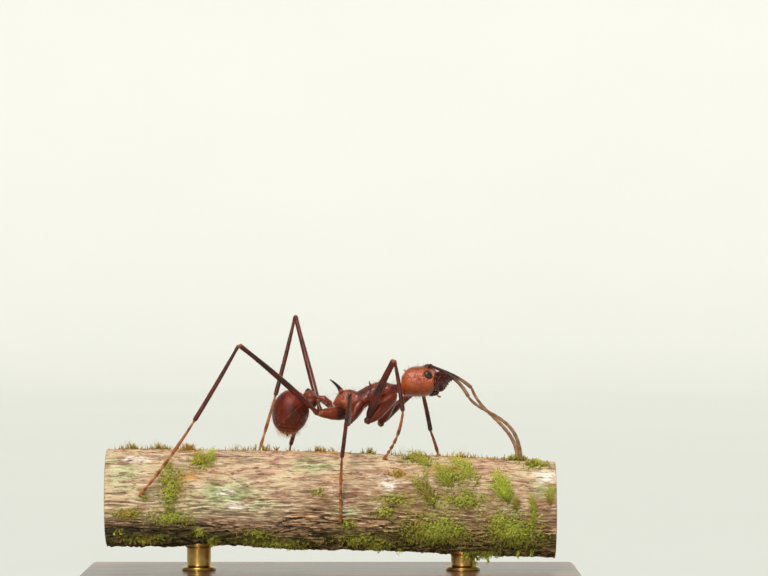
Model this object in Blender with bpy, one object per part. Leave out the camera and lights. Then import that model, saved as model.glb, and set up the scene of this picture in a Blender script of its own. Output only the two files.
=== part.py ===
"""A leafcutter worker ant, life size, on a cut length of twig held by a plain display stand.

The ant faces +X, its left side is +Y and up is +Z.  The origin is the middle of the base's underside.
Sizes are given in millimetres, and heights of the ant are measured from the twig's axis.
"""
import math

import bmesh
import bpy
from mathutils import Matrix, Vector

MM = 0.001  # one millimetre in metres
GAP = 0.03  # air left between neighbouring solids

# The display stand.
BASE_SIZE = (25.0, 13.0, 2.5)
BASE_EDGE = 0.35
ROD_RADIUS = 0.6
ROD_PLACES = {"stand_rod_rear": -6.6, "stand_rod_front": 6.6}
ROD_SHOWING = 1.1
ROD_SOCKET = 1.2  # how deep each end of a rod is sunk

# The cut length of twig, which dips and tapers a little towards the front.
TWIG_RADIUS = 2.43
TWIG_HALF_LENGTH = 11.2
TWIG_SLOPE = 0.0314
TWIG_CURVE = 0.0013
TWIG_RINGS = 20
TWIG_SIDES = 24
BARK_RELIEF = 0.05

# The twig's axis stands this far above the table.
AXIS_HEIGHT = BASE_SIZE[2] + ROD_SHOWING + TWIG_RADIUS

# Limbs are no thinner than this in the solids.
LIMB_RADIUS = 0.25
LIMB_SIDES = 8

# Head: how far along X, its underside, its top and its half width.
HEAD_STATIONS = [
    (3.46, 5.26, 6.60, 0.94),
    (4.00, 5.14, 6.69, 1.05),
    (4.50, 5.12, 6.72, 1.00),
    (4.95, 5.15, 6.69, 0.84),
    (5.33, 5.27, 6.50, 0.62),
]
HEAD_MIDDLE = (4.40, 5.92)
NAPE_DEPTH = 0.42  # how far the hind edge is notched between its two lobes
NAPE_WIDTH = 0.36
FRONTAL_LOBE = (4.90, 0.36, 0.09)  # along X, off the middle, and how high it stands
OCCIPITAL_SPINE = ((3.80, 0.62, 6.24), (3.50, 0.70, 6.62))

EYE_CENTRE = (4.84, 0.72, 6.24)
EYE_RADII = (0.25, 0.17, 0.215)
EYE_TURN = 24.0  # degrees that each eye looks forward

# Trunk: the same four measures, from its rear face to its neck.
TRUNK_STATIONS = [
    (0.10, 4.52, 5.02, 0.26),
    (0.25, 4.44, 5.36, 0.44),
    (0.45, 4.34, 5.50, 0.55),
    (0.80, 4.22, 5.48, 0.60),
    (1.15, 4.26, 5.40, 0.55),
    (1.50, 4.46, 5.51, 0.60),
    (1.85, 4.66, 5.72, 0.67),
    (2.20, 4.80, 5.88, 0.74),
    (2.52, 4.90, 5.96, 0.75),
    (2.85, 4.98, 5.90, 0.62),
    (3.12, 5.12, 5.84, 0.42),
    (3.40, 5.34, 5.81, 0.26),
    (3.98, 5.52, 5.80, 0.16),
]
PRONOTAL_SUTURE = (2.12, -22.0)  # where it crosses the trunk's middle height, and its lean
PROPODEAL_SUTURE = (1.14, -12.0)
TRUNK_MIDDLE = 5.2
TRUNK_SPINES = {
    "propodeal": ((0.50, 0.27, 5.16), (-0.08, 0.52, 6.00), 0.13),
    "mesonotal": ((1.94, 0.26, 5.50), (1.88, 0.36, 5.96), 0.12),
    "pronotal": ((2.60, 0.40, 5.55), (2.74, 0.80, 6.18), 0.13),
}

PETIOLE_STATIONS = [
    (-0.74, 5.00, 5.26, 0.18),
    (-0.45, 4.91, 5.20, 0.22),
    (-0.27, 4.80, 5.20, 0.26),
    (-0.08, 4.70, 5.02, 0.19),
    (0.16, 4.62, 4.92, 0.16),
]
POSTPETIOLE_STATIONS = [
    (-1.42, 4.96, 5.42, 0.26),
    (-1.15, 4.62, 5.48, 0.38),
    (-0.92, 4.46, 5.50, 0.42),
    (-0.66, 4.58, 5.36, 0.30),
]

# Gaster: an egg on a steep axis, from its shoulder to its tip.
GASTER_SHOULDER = Vector((-1.72, 0.0, 5.46))
GASTER_TIP = Vector((-2.34, 0.0, 3.27))
GASTER_HALF_WIDTH = 0.93
GASTER_HALF_DEPTH = 0.95

MANDIBLE_RINGS = [  # centre, half height, half thickness
    ((5.06, 0.38, 5.80), 0.46, 0.20),
    ((5.34, 0.37, 5.86), 0.55, 0.22),
    ((5.62, 0.34, 6.06), 0.42, 0.20),
    ((5.88, 0.26, 6.13), 0.24, 0.16),
    ((6.10, 0.17, 6.15), 0.07, 0.08),
]

# Feelers: a bowed scape, then the long whip that reaches the twig.
SCAPE_CURVE = {
    "right": [(4.80, -0.36, 6.55), (5.74, -0.95, 6.77), (6.51, -1.10, 5.92), (6.84, -1.25, 5.14)],
    "left": [(4.80, 0.36, 6.54), (5.66, 0.95, 6.65), (6.47, 1.10, 6.11), (7.07, 1.25, 5.57)],
}
WHIP_BEND = {
    "right": [(7.77, -1.15, 4.32), (9.82, -0.80, 3.68)],
    "left": [(7.35, 1.15, 4.12), (9.55, 0.80, 3.69)],
}
WHIP_TIP = {"right": (9.49, 11.0), "left": (9.35, -11.0)}  # along the twig, and round it
WHIP_RADII = (0.25, 0.27)

# Legs: the root and the tip of the coxa, the knee, the tibia's end and a point on the tarsus.
# The foot is given as a place along the twig and an angle round it, from the top to the right.
LEGS = {
    "fore_right": {
        "coxa": ((2.76, -0.46, 5.00), (1.80, -0.92, 3.90)),
        "knee": (3.17, -2.05, 7.02),
        "ankle": (3.58, -2.30, 4.48),
        "instep": (3.05, -1.60, 2.72),
        "foot": (2.62, 24.0),
    },
    "fore_left": {
        "coxa": ((2.84, 0.46, 4.98), (2.45, 0.92, 3.74)),
        "knee": (4.52, 2.50, 5.60),
        "ankle": (5.00, 2.35, 3.36),
        "instep": (5.42, 2.42, 2.24),
        "foot": (5.65, -66.0),
    },
    "mid_right": {
        "coxa": ((1.30, -0.42, 4.62), (0.84, -0.86, 3.78)),
        "knee": (0.98, -4.10, 5.41),
        "ankle": (0.58, -3.30, 2.24),
        "instep": (0.52, -2.80, 0.50),
        "foot": (0.52, 112.0),
    },
    "mid_left": {
        "coxa": ((1.30, 0.42, 4.62), (0.95, 0.86, 3.82)),
        "knee": (-1.26, 3.40, 5.42),
        "ankle": (-2.09, 3.00, 2.60),
        "instep": (-2.28, 2.80, 1.00),
        "foot": (-2.36, -102.0),
    },
    "hind_right": {
        "coxa": ((0.44, -0.44, 4.25), (-0.68, -0.98, 4.37)),
        "knee": (-4.50, -3.00, 7.78),
        "ankle": (-6.70, -3.10, 4.02),
        "instep": (-8.72, -2.80, 1.22),
        "foot": (-9.40, 86.0),
    },
    "hind_left": {
        "coxa": ((0.44, 0.44, 4.24), (-0.58, 0.98, 4.38)),
        "knee": (-1.88, 4.10, 9.18),
        "ankle": (-2.86, 2.95, 5.12),
        "instep": (-3.79, 2.55, 2.00),
        "foot": (-4.12, -72.0),
    },
}
COXA_RADII = {"fore": (0.40, 0.27), "mid": (0.31, 0.26), "hind": (0.37, 0.26)}

# Colour, roughness and metallic value of each material.
FINISHES = {
    "head_shell": ((0.42, 0.10, 0.025), 0.30, 0.0),
    "trunk_shell": ((0.16, 0.04, 0.025), 0.42, 0.0),
    "gaster_shell": ((0.15, 0.035, 0.012), 0.38, 0.0),
    "leg_shell": ((0.11, 0.03, 0.02), 0.36, 0.0),
    "foot_shell": ((0.32, 0.14, 0.06), 0.45, 0.0),
    "feeler_shell": ((0.22, 0.09, 0.05), 0.45, 0.0),
    "jaw_shell": ((0.03, 0.006, 0.008), 0.25, 0.0),
    "eye_lens": ((0.012, 0.013, 0.016), 0.20, 0.0),
    "bark": ((0.38, 0.26, 0.18), 0.90, 0.0),
    "stand_brass": ((0.60, 0.42, 0.17), 0.28, 1.0),
    "stand_walnut": ((0.10, 0.055, 0.03), 0.45, 0.0),
}


def clear_scene():
    for obj in list(bpy.data.objects):
        bpy.data.objects.remove(obj, do_unlink=True)


def material(name):
    found = bpy.data.materials.get(name)
    if found:
        return found
    colour, roughness, metallic = FINISHES[name]
    made = bpy.data.materials.new(name)
    made.use_nodes = True
    shader = made.node_tree.nodes["Principled BSDF"]
    shader.inputs["Base Color"].default_value = (*colour, 1.0)
    shader.inputs["Roughness"].default_value = roughness
    shader.inputs["Metallic"].default_value = metallic
    made.diffuse_color = (*colour, 1.0)
    return made


def twig_drop(x):
    """How far the twig's axis lies below its middle, at x."""
    return TWIG_SLOPE * x + TWIG_CURVE * x * x


def bark_radius(x, angle):
    """The bark's distance from the twig's axis, with low swellings along and round it."""
    along = math.sin(0.9 * x + 0.6) + 0.7 * math.sin(0.37 * x + 2.0 * math.sin(angle))
    around = math.sin(2.0 * angle + 0.25 * x) + 0.6 * math.sin(5.0 * angle - 0.4 * x)
    return TWIG_RADIUS + BARK_RELIEF * 0.5 * (along + around) - BARK_RELIEF


def on_twig(x, degrees, clearance):
    """The point over the bark at x, turned that far from the top towards the ant's right."""
    angle = math.radians(degrees)
    reach = bark_radius(x, angle) + clearance
    return Vector((x, -reach * math.sin(angle), reach * math.cos(angle) - twig_drop(x)))


def bezier(points, count):
    a, b, c, d = (Vector(p) for p in points)
    result = []
    for i in range(count + 1):
        t = i / count
        s = 1.0 - t
        result.append(s**3 * a + 3 * s * s * t * b + 3 * s * t * t * c + t**3 * d)
    return result


def blend_stations(stations, x):
    """Values at x on a smooth curve through the stations, each (x, value, value ...)."""
    last = len(stations) - 1
    i = max(0, min(last - 1, sum(1 for s in stations[1:last] if x > s[0])))

    def slope(k, column):
        low, high = stations[max(0, k - 1)], stations[min(last, k + 1)]
        return (high[column] - low[column]) / (high[0] - low[0])

    start, end = stations[i], stations[i + 1]
    span = end[0] - start[0]
    t = min(1.0, max(0.0, (x - start[0]) / span))
    values = []
    for column in range(1, len(start)):
        rise = t * t * (3 - 2 * t)
        values.append(
            start[column] * (1 - rise)
            + end[column] * rise
            + span * slope(i, column) * t * (1 - t) ** 2
            - span * slope(i + 1, column) * t * t * (1 - t)
        )
    return values


def loft(rings, sides, up=Vector((0, 0, 1))):
    """A closed skin over rings of (centre, direction, half width, half height)."""
    bm = bmesh.new()
    previous = None
    for index, (centre, direction, half_width, half_height) in enumerate(rings):
        forward = Vector(direction).normalized()
        side = up.cross(forward).normalized()
        turn = Matrix((side, forward.cross(side), forward)).transposed().to_4x4()
        size = Matrix.Diagonal((half_width, half_height, 1.0, 1.0))
        ring = bmesh.ops.create_circle(
            bm,
            cap_ends=index in (0, len(rings) - 1),
            segments=sides,
            radius=1.0,
            matrix=Matrix.Translation(centre) @ turn @ size,
        )["verts"]
        edges = {e for v in ring for e in v.link_edges if all(w in ring for w in e.verts)}
        if previous:
            bmesh.ops.bridge_loops(bm, edges=list(previous | edges))
        previous = edges
    bmesh.ops.recalc_face_normals(bm, faces=bm.faces)
    return bm


def body_bm(stations, rings, sides, rear=2.0, front=2.0, grow=0.0):
    """A body part along X between its stations, rounded at both ends.

    rear and front say how full the ends are: 2 is an ellipse's end, and more is blunter.
    """
    start, end = stations[0][0] - grow, stations[-1][0] + grow
    places = []
    for i in range(rings):
        s = (1 - math.cos(math.pi * (i + 0.5) / rings)) / 2
        x = start + s * (end - start)
        low, high, half_width = blend_stations(stations, x)
        fullness = front if s > 0.5 else rear
        close = (1 - abs(2 * s - 1) ** fullness) ** (1 / fullness)
        centre = Vector((x, 0, (low + high) / 2))
        half_height = (high - low) / 2
        places.append((centre, (1, 0, 0), (half_width + grow) * close, (half_height + grow) * close))
    return loft(places, sides)


def limb_bm(points, radii, sides=LIMB_SIDES, grow=0.0):
    """A round limb along points, its radius changing evenly, with a rounded end at each end."""
    points = [Vector(p) for p in points]
    travelled = [0.0]
    for a, b in zip(points, points[1:]):
        travelled.append(travelled[-1] + (b - a).length)
    radius_at = [
        grow + radii[0] + (radii[1] - radii[0]) * distance / travelled[-1] for distance in travelled
    ]
    first, last = (points[1] - points[0]).normalized(), (points[-1] - points[-2]).normalized()
    cap_angles = [math.radians(a) for a in (68, 34)]
    rings = [
        (points[0] - first * radius_at[0] * math.sin(a), first, *[radius_at[0] * math.cos(a)] * 2)
        for a in cap_angles
    ]
    for i, point in enumerate(points):
        before = (point - points[i - 1]).normalized() if i else first
        after = (points[i + 1] - point).normalized() if i < len(points) - 1 else last
        rings.append((point, before + after, radius_at[i], radius_at[i]))
    rings += [
        (points[-1] + last * radius_at[-1] * math.sin(a), last, *[radius_at[-1] * math.cos(a)] * 2)
        for a in reversed(cap_angles)
    ]
    steep = abs(last.z) > 0.9 or abs(first.z) > 0.9
    return loft(rings, sides, up=Vector((1, 0, 0)) if steep else Vector((0, 0, 1)))


def spine_bm(root, tip, radius):
    """A thorn from root to tip, with a small round point."""
    root, tip = Vector(root), Vector(tip)
    rings = [(root.lerp(tip, t), tip - root, radius * r, radius * r)
             for t, r in ((0, 1.0), (0.45, 0.62), (0.85, 0.3), (1.0, 0.12))]
    return loft(rings, 7, up=Vector((0, 1, 0)))


def add_object(name, bm, finish):
    """An object from a mesh worked out in millimetres from the twig's axis."""
    mesh = bpy.data.meshes.new(name)
    bm.to_mesh(mesh)
    bm.free()
    obj = bpy.data.objects.new(name, mesh)
    bpy.context.scene.collection.objects.link(obj)
    if finish:
        mesh.materials.append(material(finish))
    return obj


def combine(obj, tool_bm, operation):
    """Joins a tool to the object, or cuts it away, and drops the tool."""
    tool = add_object("tool", tool_bm, None)
    modifier = obj.modifiers.new(operation, "BOOLEAN")
    modifier.operation = operation
    modifier.solver = "EXACT"
    modifier.object = tool
    bpy.context.view_layer.update()
    evaluated = obj.evaluated_get(bpy.context.evaluated_depsgraph_get())
    mesh = bpy.data.meshes.new_from_object(evaluated)
    obj.modifiers.clear()
    worn = obj.data
    obj.data = mesh
    mesh.name = obj.name
    bpy.data.meshes.remove(worn)
    spent = tool.data
    bpy.data.objects.remove(tool, do_unlink=True)
    bpy.data.meshes.remove(spent)


def carve(obj, *neighbours):
    """Cuts the neighbours' shapes away, each grown by the gap, and drops any sliver cut loose."""
    for make in neighbours:
        combine(obj, make(GAP), "DIFFERENCE")
    bm = bmesh.new()
    bm.from_mesh(obj.data)
    pieces, seen = [], set()
    for start in bm.verts:
        if start in seen:
            continue
        piece, waiting = [], [start]
        seen.add(start)
        while waiting:
            vert = waiting.pop()
            piece.append(vert)
            for edge in vert.link_edges:
                other = edge.other_vert(vert)
                if other not in seen:
                    seen.add(other)
                    waiting.append(other)
        pieces.append(piece)
    pieces.sort(key=len)
    for piece in pieces[:-1]:
        bmesh.ops.delete(bm, geom=piece, context="VERTS")
    bm.to_mesh(obj.data)
    bm.free()


def split_off(obj, planes):
    """Keeps what lies on the far side of each (point, normal) plane, and closes the cuts."""
    bm = bmesh.new()
    bm.from_mesh(obj.data)
    for point, normal in planes:
        cut = bmesh.ops.bisect_plane(
            bm,
            geom=bm.verts[:] + bm.edges[:] + bm.faces[:],
            plane_co=point,
            plane_no=normal,
            clear_inner=True,
            dist=1e-5,
        )
        rim = [e for e in cut["geom_cut"] if isinstance(e, bmesh.types.BMEdge)]
        bmesh.ops.edgenet_fill(bm, edges=rim)
    bmesh.ops.recalc_face_normals(bm, faces=bm.faces)
    bm.to_mesh(obj.data)
    bm.free()


def finish_object(obj, smooth=True):
    """Brings a finished piece to its height over the table and to metres."""
    lift = Matrix.Translation((0, 0, AXIS_HEIGHT))
    obj.data.transform(Matrix.Scale(MM, 4) @ lift)
    if smooth:
        obj.data.shade_smooth()
        obj.data.set_sharp_from_angle(angle=math.radians(40))


def mirrored(place, side):
    """A place given for the left side, moved to the named side."""
    return Vector((place[0], place[1] if side == "left" else -place[1], place[2]))


def head_bm(grow=0.0):
    bm = body_bm(HEAD_STATIONS, rings=15, sides=22, rear=4.2, front=3.8, grow=grow)
    middle = HEAD_MIDDLE[0]
    rear_reach = middle - HEAD_STATIONS[0][0]
    lobe_x, lobe_y, lobe_height = FRONTAL_LOBE
    for vert in bm.verts:
        behind = max(0.0, (middle - vert.co.x) / rear_reach)
        vert.co.x += NAPE_DEPTH * behind**2 * math.exp(-((vert.co.y / NAPE_WIDTH) ** 2))
        if vert.co.z > HEAD_MIDDLE[1] + 0.3:
            off = ((vert.co.x - lobe_x) / 0.22) ** 2 + ((abs(vert.co.y) - lobe_y) / 0.2) ** 2
            vert.co.z += lobe_height * math.exp(-off)
    bmesh.ops.recalc_face_normals(bm, faces=bm.faces)
    return bm


def eye_bm(side, grow=0.0):
    bm = bmesh.new()
    bmesh.ops.create_uvsphere(bm, u_segments=14, v_segments=8, radius=1.0)
    sign = 1 if side == "left" else -1
    size = Matrix.Diagonal((*[r + grow for r in EYE_RADII], 1.0))
    poles_out = Matrix.Rotation(math.radians(90), 4, "X")
    turn = Matrix.Rotation(-sign * math.radians(EYE_TURN), 4, "Z")
    bm.transform(Matrix.Translation(mirrored(EYE_CENTRE, side)) @ turn @ size @ poles_out)
    return bm


def trunk_bm(grow=0.0):
    return body_bm(TRUNK_STATIONS, rings=20, sides=20, rear=3.0, front=2.4, grow=grow)


def petiole_bm(grow=0.0):
    return body_bm(PETIOLE_STATIONS, rings=9, sides=12, rear=2.6, front=2.6, grow=grow)


def postpetiole_bm(grow=0.0):
    return body_bm(POSTPETIOLE_STATIONS, rings=10, sides=16, rear=2.6, front=2.4, grow=grow)


def gaster_bm(grow=0.0):
    """An egg, blunt at the shoulder and narrowing to the tip."""
    along = GASTER_TIP - GASTER_SHOULDER
    length, direction = along.length, along.normalized()
    count = 16
    rings = []
    for i in range(count):
        angle = math.pi * (i + 0.5) / count
        reach = length / 2 + grow
        taper = 1.0 - 0.10 * (1 - math.cos(angle)) / 2
        swell = math.sin(angle) ** (0.94 if angle < math.pi / 2 else 1.12) * taper
        centre = GASTER_SHOULDER + along / 2 - direction * reach * math.cos(angle)
        rings.append((
            centre,
            direction,
            (GASTER_HALF_WIDTH + grow) * swell / 0.955,
            (GASTER_HALF_DEPTH + grow) * swell / 0.955,
        ))
    return loft(rings, 24, up=Vector((1, 0, 0)))


def mandible_bm(side, grow=0.0):
    centres = [mirrored(centre, side) for centre, _, _ in MANDIBLE_RINGS]
    rings = []
    for i, (_, half_height, half_width) in enumerate(MANDIBLE_RINGS):
        ahead = centres[min(i + 1, len(centres) - 1)] - centres[max(i - 1, 0)]
        rings.append((centres[i], ahead, half_width + grow, half_height + grow))
    return loft(rings, 12)


def scape_bm(side, grow=0.0):
    return limb_bm(bezier(SCAPE_CURVE[side], 7), (LIMB_RADIUS, LIMB_RADIUS), grow=grow)


def whip_bm(side, grow=0.0):
    tip = on_twig(*WHIP_TIP[side], clearance=WHIP_RADII[1] + GAP)
    points = [SCAPE_CURVE[side][-1], *WHIP_BEND[side], tip]
    return limb_bm(bezier(points, 12), WHIP_RADII, grow=grow)


def leg_shapes(leg):
    """The makers of one leg's four solids, from the body out."""
    place = LEGS[leg]
    root, hip = place["coxa"]
    foot = on_twig(*place["foot"], clearance=LIMB_RADIUS + GAP)
    even = (LIMB_RADIUS, LIMB_RADIUS)
    return {
        "coxa": lambda grow=0.0: limb_bm([root, hip], COXA_RADII[leg.split("_")[0]], 10, grow),
        "femur": lambda grow=0.0: limb_bm([hip, place["knee"]], (0.27, 0.25), grow=grow),
        "tibia": lambda grow=0.0: limb_bm([place["knee"], place["ankle"]], even, grow=grow),
        "tarsus": lambda grow=0.0: limb_bm([place["ankle"], place["instep"], foot], even, grow=grow),
    }


def make_head():
    head = add_object("head", head_bm(), "head_shell")
    for side in ("right", "left"):
        root, tip = (mirrored(p, side) for p in OCCIPITAL_SPINE)
        combine(head, spine_bm(root, tip, 0.1), "UNION")
        carve(head, lambda grow: eye_bm(side, grow))
        finish_object(add_object(f"eye_{side}", eye_bm(side), "eye_lens"))
        jaw = add_object(f"mandible_{side}", mandible_bm(side), "jaw_shell")
        carve(jaw, head_bm)
        finish_object(jaw)
        scape = add_object(f"scape_{side}", scape_bm(side), "feeler_shell")
        carve(scape, head_bm)
        finish_object(scape)
        whip = add_object(f"whip_{side}", whip_bm(side), "feeler_shell")
        carve(whip, lambda grow: scape_bm(side, grow))
        finish_object(whip)
    finish_object(head)


def suture_plane(suture, facing):
    """Half a gap to one side of a suture, looking away from it."""
    x, lean = suture
    away = facing * Vector((math.cos(math.radians(lean)), 0, math.sin(math.radians(lean))))
    return Vector((x, 0, TRUNK_MIDDLE)) + away * GAP / 2, away


def make_trunk():
    """The trunk parted at its two sutures into three plates, each with its pair of thorns."""
    plates = {
        "pronotum": ("pronotal", [suture_plane(PRONOTAL_SUTURE, 1)]),
        "mesothorax": (
            "mesonotal",
            [suture_plane(PROPODEAL_SUTURE, 1), suture_plane(PRONOTAL_SUTURE, -1)],
        ),
        "propodeum": ("propodeal", [suture_plane(PROPODEAL_SUTURE, -1)]),
    }
    for name, (spine, planes) in plates.items():
        plate = add_object(name, trunk_bm(), "trunk_shell")
        split_off(plate, planes)
        root, tip, radius = TRUNK_SPINES[spine]
        for side in ("right", "left"):
            combine(plate, spine_bm(mirrored(root, side), mirrored(tip, side), radius), "UNION")
        if name == "pronotum":
            carve(plate, head_bm)
        finish_object(plate)


def make_waist_and_gaster():
    petiole = add_object("petiole", petiole_bm(), "trunk_shell")
    carve(petiole, trunk_bm)
    finish_object(petiole)
    postpetiole = add_object("postpetiole", postpetiole_bm(), "trunk_shell")
    carve(postpetiole, petiole_bm)
    finish_object(postpetiole)
    gaster = add_object("gaster", gaster_bm(), "gaster_shell")
    carve(gaster, postpetiole_bm)
    finish_object(gaster)


def make_legs():
    for leg in LEGS:
        shapes = leg_shapes(leg)
        inner = trunk_bm
        for piece, make in shapes.items():
            finish = "foot_shell" if piece == "tarsus" else "leg_shell"
            obj = add_object(f"{piece}_{leg}", make(), finish)
            carve(obj, inner)
            finish_object(obj)
            inner = make


def rod_bm(x, grow=0.0):
    """One rod of the stand, upright, sunk into the base and into the twig."""
    low = BASE_SIZE[2] - ROD_SOCKET - grow - AXIS_HEIGHT
    high = -TWIG_RADIUS + ROD_SOCKET + grow - twig_drop(x)
    bm = bmesh.new()
    bmesh.ops.create_cone(
        bm,
        cap_ends=True,
        segments=16,
        radius1=ROD_RADIUS + grow,
        radius2=ROD_RADIUS + grow,
        depth=high - low,
        matrix=Matrix.Translation((x, 0, (high + low) / 2)),
    )
    return bm


def make_twig():
    """Rings of bark along the axis, each pushed in and out by the bark's own relief."""
    rings = []
    for i in range(TWIG_RINGS + 1):
        x = -TWIG_HALF_LENGTH + 2 * TWIG_HALF_LENGTH * i / TWIG_RINGS
        rings.append((Vector((x, 0, -twig_drop(x))), (1, 0, 0), TWIG_RADIUS, TWIG_RADIUS))
    bm = loft(rings, TWIG_SIDES)
    for vert in bm.verts:
        drop = twig_drop(vert.co.x)
        angle = math.atan2(-vert.co.y, vert.co.z + drop)
        vert.co = on_twig(vert.co.x, math.degrees(angle), clearance=0.0)
    twig = add_object("perch_twig", bm, "bark")
    for x in ROD_PLACES.values():
        carve(twig, lambda grow: rod_bm(x, grow))
    finish_object(twig)


def make_stand():
    for name, x in ROD_PLACES.items():
        finish_object(add_object(name, rod_bm(x), "stand_brass"))
    bm = bmesh.new()
    middle = Matrix.Translation((0, 0, BASE_SIZE[2] / 2 - AXIS_HEIGHT))
    bmesh.ops.create_cube(bm, size=1.0, matrix=middle @ Matrix.Diagonal((*BASE_SIZE, 1.0)))
    upper = [e for e in bm.edges if max(v.co.z for v in e.verts) > BASE_SIZE[2] / 2 - AXIS_HEIGHT]
    bmesh.ops.bevel(bm, geom=upper, offset=BASE_EDGE, segments=3, profile=0.5, affect="EDGES")
    base = add_object("stand_base", bm, "stand_walnut")
    for x in ROD_PLACES.values():
        carve(base, lambda grow: rod_bm(x, grow))
    finish_object(base)


def main():
    clear_scene()
    make_head()
    make_trunk()
    make_waist_and_gaster()
    make_legs()
    make_twig()
    make_stand()


main()
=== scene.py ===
# %% [markdown]
# # A leafcutter ant on its twig, as a museum shows it
# The solid parts already exist in the fixed frame: the twig, the stand, and one plain solid for every
# plate and limb of the ant. This lesson dresses them: each plain solid gives way to a shell with its own
# seams, thorns, teeth and hairs, and the twig gets bark, lichen and moss. Every new piece takes its place
# and size from the solid that it stands for, so that the looks and the solids stay one object.

# %% Load the frame
import math
import random
from contextlib import contextmanager

import bmesh
import bpy
import numpy as np
from mathutils import Matrix, Vector, noise
from mathutils.bvhtree import BVHTree


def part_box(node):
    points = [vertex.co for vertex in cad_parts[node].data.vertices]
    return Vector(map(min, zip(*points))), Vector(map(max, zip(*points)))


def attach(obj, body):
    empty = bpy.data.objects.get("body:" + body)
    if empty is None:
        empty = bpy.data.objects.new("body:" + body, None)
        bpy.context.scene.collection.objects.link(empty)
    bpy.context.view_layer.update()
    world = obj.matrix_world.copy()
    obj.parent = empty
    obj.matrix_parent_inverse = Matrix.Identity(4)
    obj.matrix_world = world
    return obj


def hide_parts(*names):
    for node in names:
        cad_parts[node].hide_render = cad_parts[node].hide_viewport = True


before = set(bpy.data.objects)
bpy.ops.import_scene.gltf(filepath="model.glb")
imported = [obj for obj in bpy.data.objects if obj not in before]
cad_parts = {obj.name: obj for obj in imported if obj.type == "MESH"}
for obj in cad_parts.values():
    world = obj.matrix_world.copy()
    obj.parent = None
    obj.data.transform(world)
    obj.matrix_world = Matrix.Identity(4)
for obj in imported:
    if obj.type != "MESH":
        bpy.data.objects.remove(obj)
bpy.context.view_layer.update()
MM = 0.001
SIDES = {"right": -1, "left": 1}  # each side's sign along Y
LEGS = {f"{kind}_{side}": (kind, sign) for kind in ("fore", "mid", "hind") for side, sign in SIDES.items()}
random.seed(11)
for plain in list(bpy.data.materials):  # the plain colours that came with the solids
    bpy.data.materials.remove(plain)
print(len(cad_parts), "solids in the frame")

# %% [markdown]
# ## Small tools
# The object is only 25 mm long, and some of Blender's tools count in tenths of a millimetre. So pieces are
# modelled in millimetres, as if a millimetre were a metre, and each one is shrunk to its real size when it
# is settled into the frame. The first helpers keep the selection clean and hold one step of handwork each.

# %% Selecting, starting and finishing a piece
def choose(*pieces):
    """Selects some pieces and nothing else. The first becomes the active one."""
    bpy.ops.object.select_all(action="DESELECT")
    for piece in pieces:
        piece.select_set(True)
    if pieces:
        bpy.context.view_layer.objects.active = pieces[0]


def begin(name, shape, **size):
    """Adds a primitive as the start of a piece."""
    choose()
    getattr(bpy.ops.mesh, f"primitive_{shape}_add")(**size)
    piece = bpy.context.object
    piece.name = piece.data.name = name
    return piece


def add_object(name, data):
    """Puts a mesh, light or camera into the scene."""
    made = bpy.data.objects.new(name, data)
    bpy.context.scene.collection.objects.link(made)
    return made


@contextmanager
def edit_mode():
    """Edit mode for some steps of handwork on the active piece."""
    bpy.ops.object.mode_set(mode="EDIT")
    yield
    bpy.ops.object.mode_set(mode="OBJECT")


def extrude(x, y, z):
    bpy.ops.mesh.extrude_region_move(TRANSFORM_OT_translate={"value": (x, y, z)})


def fix_order(piece):
    """Extruding and cutting leave a mesh's parts in a new order each run; this sorts them by place."""
    mesh = bmesh.new()
    mesh.from_mesh(piece.data)
    by_place = lambda vert: tuple(vert.co)
    by_corners = lambda part: sorted(vert.index for vert in part.verts)
    for parts, rule in ((mesh.verts, by_place), (mesh.edges, by_corners), (mesh.faces, by_corners)):
        rank = {part: i for i, part in enumerate(sorted(parts, key=rule))}
        parts.sort(key=rank.get)
        parts.index_update()
    mesh.to_mesh(piece.data)
    mesh.free()


def face_outward():
    """In edit mode, turns all faces outward."""
    bpy.ops.mesh.select_all(action="SELECT")
    bpy.ops.mesh.normals_make_consistent(inside=False)


def pick(kind, test):
    """In edit mode, selects the vertices, edges or faces whose middle passes the test."""
    bpy.ops.mesh.select_mode(type=kind)
    bpy.ops.mesh.select_all(action="DESELECT")
    mesh = bmesh.from_edit_mesh(bpy.context.object.data)
    for item in {"VERT": mesh.verts, "EDGE": mesh.edges, "FACE": mesh.faces}[kind]:
        corners = [item.co] if kind == "VERT" else [v.co for v in item.verts]
        if test(sum(corners, Vector()) / len(corners)):
            item.select_set(True)
    bmesh.update_edit_mesh(bpy.context.object.data)


def apply_modifier(piece, kind, **settings):
    choose(piece)
    bpy.ops.object.modifier_add(type=kind)
    modifier = piece.modifiers[-1]
    for key, value in settings.items():
        setattr(modifier, key, value)
    bpy.ops.object.modifier_apply(modifier=modifier.name)


def join(pieces):
    """Makes one object of several, under the first one's name."""
    choose(*pieces)
    bpy.ops.object.join()
    return pieces[0]


def settle(piece, finish, *nodes, slot=None, angle=50):
    """Shrinks a finished piece to its real size, gives it its finish, and puts it in the frame."""
    piece.data.transform(Matrix.Scale(MM, 4))
    choose(piece)
    bpy.ops.object.shade_smooth_by_angle(angle=math.radians(angle))
    piece.data.materials.clear()
    piece.data.materials.append(finish)
    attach(piece, "root")
    if nodes:
        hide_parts(*nodes)
    print(f"{piece.name}: {len(piece.data.polygons)} faces")
    return piece


# %% [markdown]
# ## Measuring the solids
# A new shell has to follow its solid, so three measures are taken from the frame: where a solid is crossed
# by a plane, where a limb ends, and the middle line of a bent limb. A limb's solid is thicker than the real
# limb, because a solid that thin couldn't be made, but its middle line is the true one.

# %% Planes, ends and middle lines
def corners(node):
    """The vertices of a solid, in millimetres."""
    return np.array([v.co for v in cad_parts[node].data.vertices]) / MM


def box_mm(node):
    """A solid's lowest and highest corners, in millimetres."""
    low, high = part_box(node)
    return low / MM, high / MM


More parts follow.
